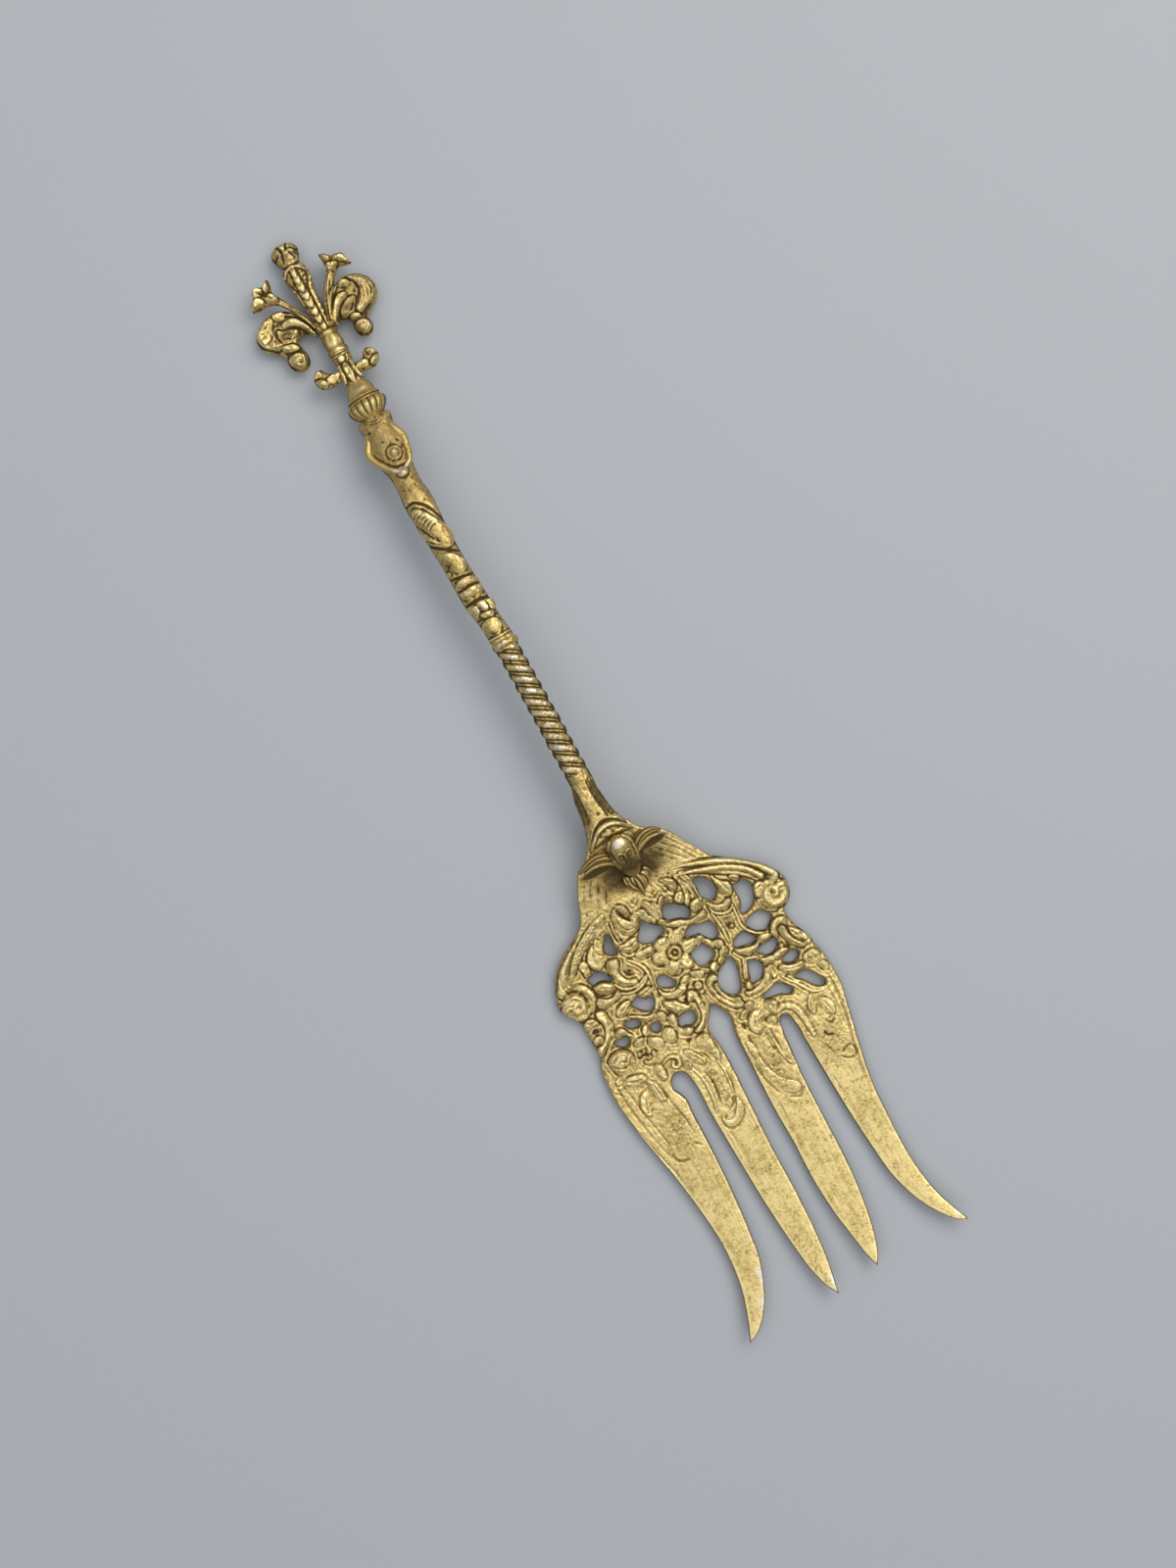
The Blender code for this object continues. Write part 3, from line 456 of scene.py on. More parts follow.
class Wire:
    # a socket of a shader; sums on it add Math nodes
    def __init__(self, tree, socket=None):
        self.tree, self.socket = tree, socket

    def node(self, kind, settings=None, sockets=None, out=0):
        # new node with its settings, its inputs fed by wires or set to values
        made = self.tree.nodes.new(kind)
        for key, value in (settings or {}).items():
            setattr(made, key, value)
        for key, value in (sockets or {}).items():
            if isinstance(value, Wire):
                self.tree.links.new(value.socket, made.inputs[key])
            else:
                made.inputs[key].default_value = value
        return Wire(self.tree, made.outputs[out] if made.outputs else None)

    def sum(self, operation, first, second):
        return self.node("ShaderNodeMath", {"operation": operation}, {0: first, 1: second})

    def __add__(self, other):
        return self.sum("ADD", self, other)

    def __radd__(self, other):
        return self.sum("ADD", other, self)

    def __sub__(self, other):
        return self.sum("SUBTRACT", self, other)

    def __rsub__(self, other):
        return self.sum("SUBTRACT", other, self)

    def __mul__(self, other):
        return self.sum("MULTIPLY", self, other)

    def between(self, low, high, least=0.0, most=1.0):
        # smooth step: least where this value is low, most where it is high
        return self.node("ShaderNodeMapRange", {"interpolation_type": "SMOOTHSTEP"},
                         {"Value": self, "From Min": low, "From Max": high, "To Min": least, "To Max": most})

    def tint(self, first, second):
        # colour between two, by this value
        def rgba(colour):
            return colour if isinstance(colour, Wire) else (*colour, 1)
        return self.node("ShaderNodeMix", {"data_type": "RGBA"}, {0: self, 6: rgba(first), 7: rgba(second)}, out=2)


gilt = {"gold": (0.88, 0.68, 0.285), "deepGold": (0.56, 0.39, 0.13), "paleGold": (0.95, 0.76, 0.36),
        "umber": (0.21, 0.135, 0.042), "tarnishAndShade": (0.045, 0.027, 0.009), "silver": (0.86, 0.80, 0.70),
        "roughness": 0.42, "specular": 0.2, "bump": 0.00016,
        "patch": 95, "cloud": 520, "grain": 2000, "punch": 1900, "streak": 1500,  # waves of each noise in a metre
        "drawn": (1, 0.06, 1)}  # streaks are drawn out along the tines


def giltMetal(name, hollows=1.0, crests=1.0, gold=gilt["gold"]):
    # gilding: tarnish and painted shade lie in the hollows and on the darkened sides, walls and patches; crests are
    # rubbed pale, with a painted highlight on the dome's and band's tops; a silvery tone shows where it wore thin,
    # and as a painted highlight along the rope's top
    material = bpy.data.materials.new(name)
    material.use_nodes = True
    tree = material.node_tree
    tree.nodes.clear()
    w = Wire(tree)
    place = w.node("ShaderNodeTexCoord", out="Object")

    def layer(key):
        return w.node("ShaderNodeAttribute", {"attribute_name": key}, out="Fac")

    def noise(key, detail, rough, at=place):
        return w.node("ShaderNodeTexNoise", None,
                      {"Vector": at, "Scale": gilt[key], "Detail": detail, "Roughness": rough})

    recess, crest, matted, silver = (layer(key) for key in layers)
    patch, cloud, fine = noise("patch", 3, 0.55), noise("cloud", 5, 0.6), noise("grain", 4, 0.65)
    punch = w.node("ShaderNodeTexVoronoi", {"feature": "SMOOTH_F1"},
                   {"Vector": place, "Scale": gilt["punch"], "Smoothness": 0.4})
    pits = (fine * 0.7 + cloud * 0.3).between(0.44, 0.35)
    dirtAndShade = (recess * 1.3 * hollows + matted * 0.5 + (cloud - 0.5) * 0.6).between(0.12, 0.95)
    dirtAndShade = dirtAndShade * 0.95 + pits * (1 - dirtAndShade) * 0.65
    rubbedAndLit = (crest * crests + (cloud - 0.5) * 0.5 - matted * 0.3 - recess * 0.8).between(0.15, 0.95)
    bareAndGlint = (silver * 1.2 + (cloud - 0.5) * 0.9 + (patch - 0.5) * 0.5 - 0.35).between(0.0, 1.3)
    drawn = w.node("ShaderNodeVectorMath", {"operation": "MULTIPLY"}, {0: place, 1: gilt["drawn"]}, out="Vector")
    streak = noise("streak", 4, 0.6, drawn)
    mottle = patch * 0.22 + cloud * 0.28 + fine * 0.5 + streak * 0.3 - 0.15
    base = mottle.between(0.39, 0.58).tint(gilt["deepGold"], gold)
    base = (rubbedAndLit * 0.85).tint(base, gilt["paleGold"])
    base = bareAndGlint.tint(base, gilt["silver"])
    # umber, then near black, where the tarnish and painted shade are deepest
    base = dirtAndShade.tint(base, gilt["umber"])
    base = dirtAndShade.between(0.6, 1.15).tint(base, gilt["tarnishAndShade"])
    rough = gilt["roughness"] + dirtAndShade * 0.22 - rubbedAndLit * 0.14 - bareAndGlint * 0.12 + (cloud - 0.5) * 0.25
    height = fine * 0.9 + cloud * 0.6 + streak * 0.6 + matted * punch * 2.0
    bump = w.node("ShaderNodeBump", None, {"Strength": 0.6, "Distance": gilt["bump"], "Height": height})
    shader = w.node("ShaderNodeBsdfPrincipled", None, {
        "Base Color": base, "Metallic": 1 - dirtAndShade * 0.6, "Roughness": rough,
        "Specular IOR Level": gilt["specular"], "Normal": bump})
    w.node("ShaderNodeOutputMaterial", None, {"Surface": shader})
    return material


finishes = {"gilt_head": giltMetal("head_gilding"),
            "gilt_handle": giltMetal("handle_gilding", hollows=1.22, gold=(0.76, 0.56, 0.21)),
            "gilt_worn": giltMetal("rubbed_gilding", hollows=1.25, crests=1.2, gold=(0.72, 0.52, 0.20))}
print("finishes made")


# Lines of the CAD that the pieces follow

backLine = [(0, 2.6), (8, 1.3), (16, 0.5), (26, 0), (66, 0), (74, 0.4), (82, 1.7), (89, 3.6), (95, 5.7)]
sheetLine = [(0, 1.0), (30, 1.8), (95, 1.8)]
axisHeight = [(-15, 6.6), (-4, 7.9), (24, 8.6), (54.5, 7.6), (73, 6.0), (80.5, 4.5), (91.8, 2.8), (110, 2.4)]
axisSide = [(-15, 0.0), (24, 0.1), (36, -0.8), (54.5, -1.15), (66.5, -1.15), (80.5, -0.6), (110, -0.5)]


def plateTop(y):
    # back of the plate plus its thickness, both listed by distance from the tips
    return along(backLine, y + 110) + along(sheetLine, y + 110)


# Head: pierced scrollwork above four tines

# outer edge with the four tines, the corners marked
outline = [
    (4.0, -14, 1), (5, -16), (6.5, -17.3), (8.5, -18.6), (10, -20.3), (11.5, -23), (13, -25.5), (14.3, -27.6, 1),
    (16, -28.8), (18.5, -30.6), (20.5, -32.3), (22.3, -34), (23.6, -35.8), (24.4, -38.3), (24, -40.5), (23, -42),
    (21.5, -42.8, 1), (21.4, -44), (21.7, -46.2), (22.6, -48.2), (23.2, -50), (23.3, -51.3, 1), (23.8, -53),
    (24.1, -56), (24.1, -60), (23.3, -64), (22.4, -68), (21.3, -73), (20.2, -79), (19.8, -85), (19.6, -90),
    (19.6, -94), (19.9, -98), (20.6, -102), (21.7, -105.5), (23.3, -109.5, 1), (22, -109), (19.5, -106.5),
    (17.3, -103), (15.7, -99), (14.7, -95), (14.2, -90), (13.6, -82), (13.3, -75), (13, -66), (12.9, -62.5),
    (12.4, -60.6), (11.6, -60), (10.9, -60.6), (10.4, -62.5), (10, -66), (9.6, -70), (9.2, -80), (8.9, -90),
    (8, -98), (6.7, -104), (5.4, -107.4), (4.4, -108.9, 1), (3.7, -107), (3, -103), (2.2, -98), (1.6, -90),
    (1.8, -82), (1.7, -75), (2, -65), (2.3, -59), (2.7, -57), (3, -55.9), (2.4, -54.1), (1.7, -52.8),
    (0.85, -51.9, 1), (0.1, -53.1), (-0.8, -54.2), (-1.7, -55.8), (-1.5, -57.8), (-1.2, -61), (-1.5, -70), (-2, -80),
    (-2.1, -90), (-2.5, -98), (-3.2, -104), (-4.4, -110, 1), (-5.4, -108.3), (-6.8, -104), (-7.6, -98), (-8.3, -90),
    (-8.7, -80), (-9, -70), (-9, -63), (-9.4, -61), (-10.4, -60), (-11.6, -60.1), (-12.5, -61.2), (-12.8, -62.3),
    (-12.2, -63.6), (-11.7, -64.8), (-11.8, -68), (-11.9, -74), (-12.5, -85), (-13.2, -92), (-14.2, -98),
    (-15.5, -101.5), (-18, -106), (-21, -109), (-23.2, -110, 1), (-21.2, -105), (-20, -101), (-19.3, -97),
    (-19, -92), (-19.6, -84), (-20.4, -78), (-21.5, -72), (-22.6, -66), (-23.3, -60), (-23.3, -56), (-22.8, -52.5),
    (-21.8, -50.5, 1), (-21.9, -46), (-22, -43.5), (-22.6, -42.2, 1), (-23.8, -40.8), (-24.2, -38.5), (-23.3, -36),
    (-22.3, -34), (-20.5, -32), (-18.5, -30.5), (-16, -29.2), (-13.8, -27.8, 1), (-13, -26.8), (-11.3, -23),
    (-10.2, -20.8), (-9, -18.8), (-7.5, -17.8), (-5.5, -16), (-4.5, -14, 1)]

# 22 piercings
openings = [
    [(9.3, -29.9), (10.2, -30), (11.2, -30.7), (11.9, -31.9), (12.2, -33.2), (11.9, -34.2), (11.2, -34.9),
        (10.4, -35), (9.9, -34.4), (9.2, -33.6), (9.2, -31.8)],
    [(15.2, -34.5), (16.2, -34.6), (17, -34.3), (17.9, -35), (18.3, -36), (18, -37.2), (17.4, -38.6), (16.6, -39.5),
        (15.6, -39.9), (14.4, -40.1), (14.1, -39.5), (14.8, -38.6), (15.2, -37.4), (15.2, -36)],
    [(14, -41.9), (14.9, -41.3), (16.4, -41), (17.4, -40.9), (17.9, -41.6), (18.7, -42.4), (18.5, -43.3),
        (17.6, -44), (16.6, -44.6), (15.4, -44.2), (14.4, -43.2)],
    [(2.6, -31.4), (3.2, -31.9), (4, -32.3), (4.8, -33), (5.6, -33.6), (5.9, -34.6), (5.4, -35.6), (4.8, -35.7),
        (3.8, -35), (2.6, -34.6), (1.6, -34.2), (1.2, -33.4), (1.5, -32.4), (2, -31.7)],
    [(-3.1, -31.8), (-2.6, -32.3), (-2, -33.1), (-1.2, -33.9), (-0.4, -34.5), (0.1, -35), (0, -35.6), (-0.6, -36),
        (-1.8, -36.2), (-2.8, -36.6), (-3.8, -36.2), (-4.7, -35.8), (-5, -34.9), (-4.4, -34), (-3.8, -33.2),
        (-3.3, -32.5)],
    [(3.6, -37.8), (4.4, -37.3), (5.6, -37.6), (6.6, -38), (7.8, -38.1), (8.4, -38.8), (8.7, -40), (8.4, -41.1),
        (7.4, -41.5), (6.6, -41), (6, -40.1), (5.4, -39.3), (4.4, -39.1), (3.6, -38.9), (3.2, -38.4)],
    [(2.2, -42.1), (2.8, -41.6), (4, -41.6), (5, -41.3), (5.4, -42.2), (6.1, -43.4), (6, -44), (5, -44.6),
        (3.6, -45), (2.6, -44.6), (2.3, -43.4)],
    [(8, -45.7), (8.5, -46.6), (8.4, -48.6), (7.8, -50.6), (7.2, -52), (6.2, -52.6), (5.2, -52.2), (4.4, -51.2),
        (4, -50), (4.2, -48.8), (5, -47.6), (6, -46.9), (7, -46.5)],
    [(11.1, -48.2), (11.9, -48.6), (12.6, -49.4), (12.8, -50.4), (12.3, -51.4), (11.6, -52.1), (10.6, -52.3),
        (9.6, -52.2), (9.8, -51.2), (10.2, -50), (10.6, -48.9)],
    [(10, -44.4), (10.7, -43.6), (11.8, -43.2), (12.8, -43.1), (13.4, -43.8), (14, -44.6), (14.2, -45.4),
        (13.4, -45.6), (12.4, -45.4), (11.2, -45.2), (10.2, -44.9)],
    [(13, -47.6), (13.8, -47.1), (15, -46.9), (16.2, -46.9), (17, -46.7), (17.4, -47.2), (17.2, -48), (16.6, -48.6),
        (15.4, -49), (14.4, -48.8), (13.8, -48.2)],
    [(16.6, -51), (17.4, -50.7), (18.4, -50.4), (19.2, -50.4), (19.9, -51), (19.7, -51.6), (19, -52.1), (18, -52.3),
        (17.2, -52), (16.7, -51.6)],
    [(17, -55), (17.8, -54.7), (18.8, -54.8), (19.8, -55.1), (20.4, -56), (21.2, -57.2), (21.7, -58.4),
        (21.3, -58.9), (20.5, -58.8), (19.6, -58.1), (18.8, -57), (18, -56)],
    [(10.1, -55.3), (11.2, -55), (12.4, -54.7), (13.4, -54.4), (14.2, -54.9), (15, -55.8), (15.6, -56.8),
        (15.2, -57.3), (14.4, -57.2), (13.4, -56.6), (12.2, -56.3), (11, -56.1), (10.2, -55.8)],
    [(-9.9, -31.1), (-9.5, -31.7), (-9.6, -33.4), (-9.7, -35.1), (-10.8, -34.9), (-11.4, -34.3), (-11.4, -33.2),
        (-10.7, -32.2)],
    [(-16.9, -36.8), (-15.8, -36.6), (-15, -36.1), (-14.4, -36.8), (-13.6, -37.1), (-13.2, -38), (-12.9, -39),
        (-13.4, -39.1), (-14.2, -38.4), (-15.4, -38.1), (-16.5, -38.2), (-16.8, -37.5)],
    [(-5.8, -43.6), (-5.2, -42.8), (-4.2, -42.9), (-3.4, -43.9), (-2.9, -45), (-3, -45.6), (-3.9, -45.5),
        (-5.2, -44.9), (-5.8, -44.4)],
    [(-12, -44.8), (-11.2, -44.4), (-10.3, -44.1), (-9.8, -44.7), (-9.4, -45.2), (-8.6, -45.2), (-7.9, -45.6),
        (-8.2, -46.6), (-8.8, -47.3), (-9.4, -47.5), (-10.2, -47.1), (-10.9, -46.5), (-11.6, -45.7)],
    [(-15, -47.3), (-14.6, -47.1), (-13.6, -47.3), (-12.7, -47.6), (-12.2, -48.4), (-12.5, -48.9), (-13.4, -48.9),
        (-14.2, -48.6), (-14.8, -48)],
    [(-11, -50.4), (-10.4, -49.8), (-9.5, -49.8), (-9.1, -50.4), (-9.3, -51.2), (-10, -51.6), (-10.8, -51.2)],
    [(-18.3, -49.7), (-17.6, -49.2), (-17, -49.5), (-16.2, -49.4), (-15.6, -50), (-15.5, -50.5), (-16, -50.9),
        (-16.8, -51.1), (-17.4, -50.8), (-18, -50.3)],
    [(-5.7, -51.7), (-5.1, -51.1), (-4, -51), (-3, -51.1), (-2.6, -51.7), (-2.6, -52.5), (-3.2, -53.2), (-4, -53.5),
        (-5, -53), (-5.8, -52.9), (-6, -52.4)]]

# bands: half width, height, relative width at both ends, path
bands = [
    # rim, right
    (0.72, 0.5, (0.4, 0.5), [(7.6, -27.6), (10, -28.5), (12.5, -29.7), (14.6, -31), (16.8, -32.5), (18.6, -34.2),
        (19.8, -35.7)]),
    (0.5, 0.45, (0.4, 0.7), [(9, -26.9), (12.5, -28.3), (15, -29.9), (17.4, -31.6), (19.4, -33.4), (20.6, -35.3)]),
    (0.55, 0.5, (0.4, 0.8), [(12, -27.3), (14.5, -28.6), (17, -30.3), (19.5, -32.2), (21.2, -33.9)]),
    (0.3, 0.4, (0.6, 0.6), [(8, -28), (8.6, -29.2), (8.9, -30.8), (8.8, -32.4), (8.9, -33.8)]),
    (0.3, 0.35, (0.6, 0.6), [(7, -28.6), (7.7, -30.4), (8.1, -32.6)]),
    # stems between the openings
    (0.3, 0.4, (0.6, 0.6), [(-8.7, -29.2), (-8.9, -31), (-9, -33), (-8.7, -34.2)]),
    (0.26, 0.35, (0.6, 0.6), [(-8, -29.6), (-8.3, -31.4), (-8.2, -33.2)]),
    (0.32, 0.4, (0.6, 0.6), [(-13, -39.8), (-12.2, -41.2), (-10.8, -42), (-8.8, -42.1), (-7, -41.2)]),
    (0.32, 0.4, (0.6, 0.6), [(-13, -41.7), (-11.6, -42.6), (-9.6, -42.8), (-7.6, -42.1), (-6.6, -40.9)]),
    (0.4, 0.45, (0.6, 0.6), [(-8.6, -37.2), (-7.2, -38.8), (-6.5, -40.4), (-6.5, -42), (-6.7, -43.6)]),
    (0.36, 0.45, (0.6, 0.7), [(9.2, -37), (9.5, -39.4), (9.6, -41.6), (9.5, -43.4)]),
    (0.36, 0.45, (0.6, 0.6), [(13.3, -37.8), (13.2, -39.6), (13, -41.4), (13.4, -42.8), (14.2, -43.9), (15.6, -44.8),
        (16.7, -45.2)]),
    (0.28, 0.4, (0.6, 0.6), [(9.2, -36), (9.8, -37.3), (11.1, -38.2), (12.6, -38.3), (13.4, -37.5)]),
    (0.28, 0.4, (0.6, 0.6), [(9.2, -45.4), (9.6, -46.4), (10.6, -47.5), (11.6, -48), (12.8, -48.2)]),
    (0.3, 0.35, (0.6, 0.6), [(-9, -35.4), (-8, -36.6), (-6.6, -36.7), (-5.3, -36.4)]),
    (0.38, 0.4, (0.6, 0.5), [(14.9, -53.6), (15.7, -54.8), (16.6, -55.8), (17.6, -57.4), (18.8, -59),
        (20.6, -59.6)]),
    (0.24, 0.35, (0.6, 0.5), [(15.9, -54.2), (16.9, -55.3), (17.9, -56.6)]),
    # over the slots
    (0.42, 0.55, (0.6, 0.8), [(-12.3, -57.2), (-11.2, -56.7), (-10, -56.8), (-9.3, -57.6), (-9.5, -58.7),
        (-10.2, -59), (-10.8, -58.4), (-10.4, -57.8)]),
    (0.75, 0.35, (0.8, 0.6), [(11, -58.9), (12.4, -58.6), (13.8, -59.4), (14.6, -61), (14.9, -63.4), (14.9, -66)]),
    # contours on the roots of the tines
    (0.4, 0.26, (0.6, 0.5), [(-7.9, -60.6), (-7.2, -62.5), (-7, -65), (-7.2, -67.5), (-7.9, -70)]),
    (0.3, 0.24, (0.6, 0.5), [(-3.1, -61.6), (-2.8, -64), (-3, -66), (-3.5, -68.6)]),
    (0.3, 0.24, (0.6, 0.5), [(7.9, -61.5), (8, -64.4), (8.3, -67.4), (9, -69)])]

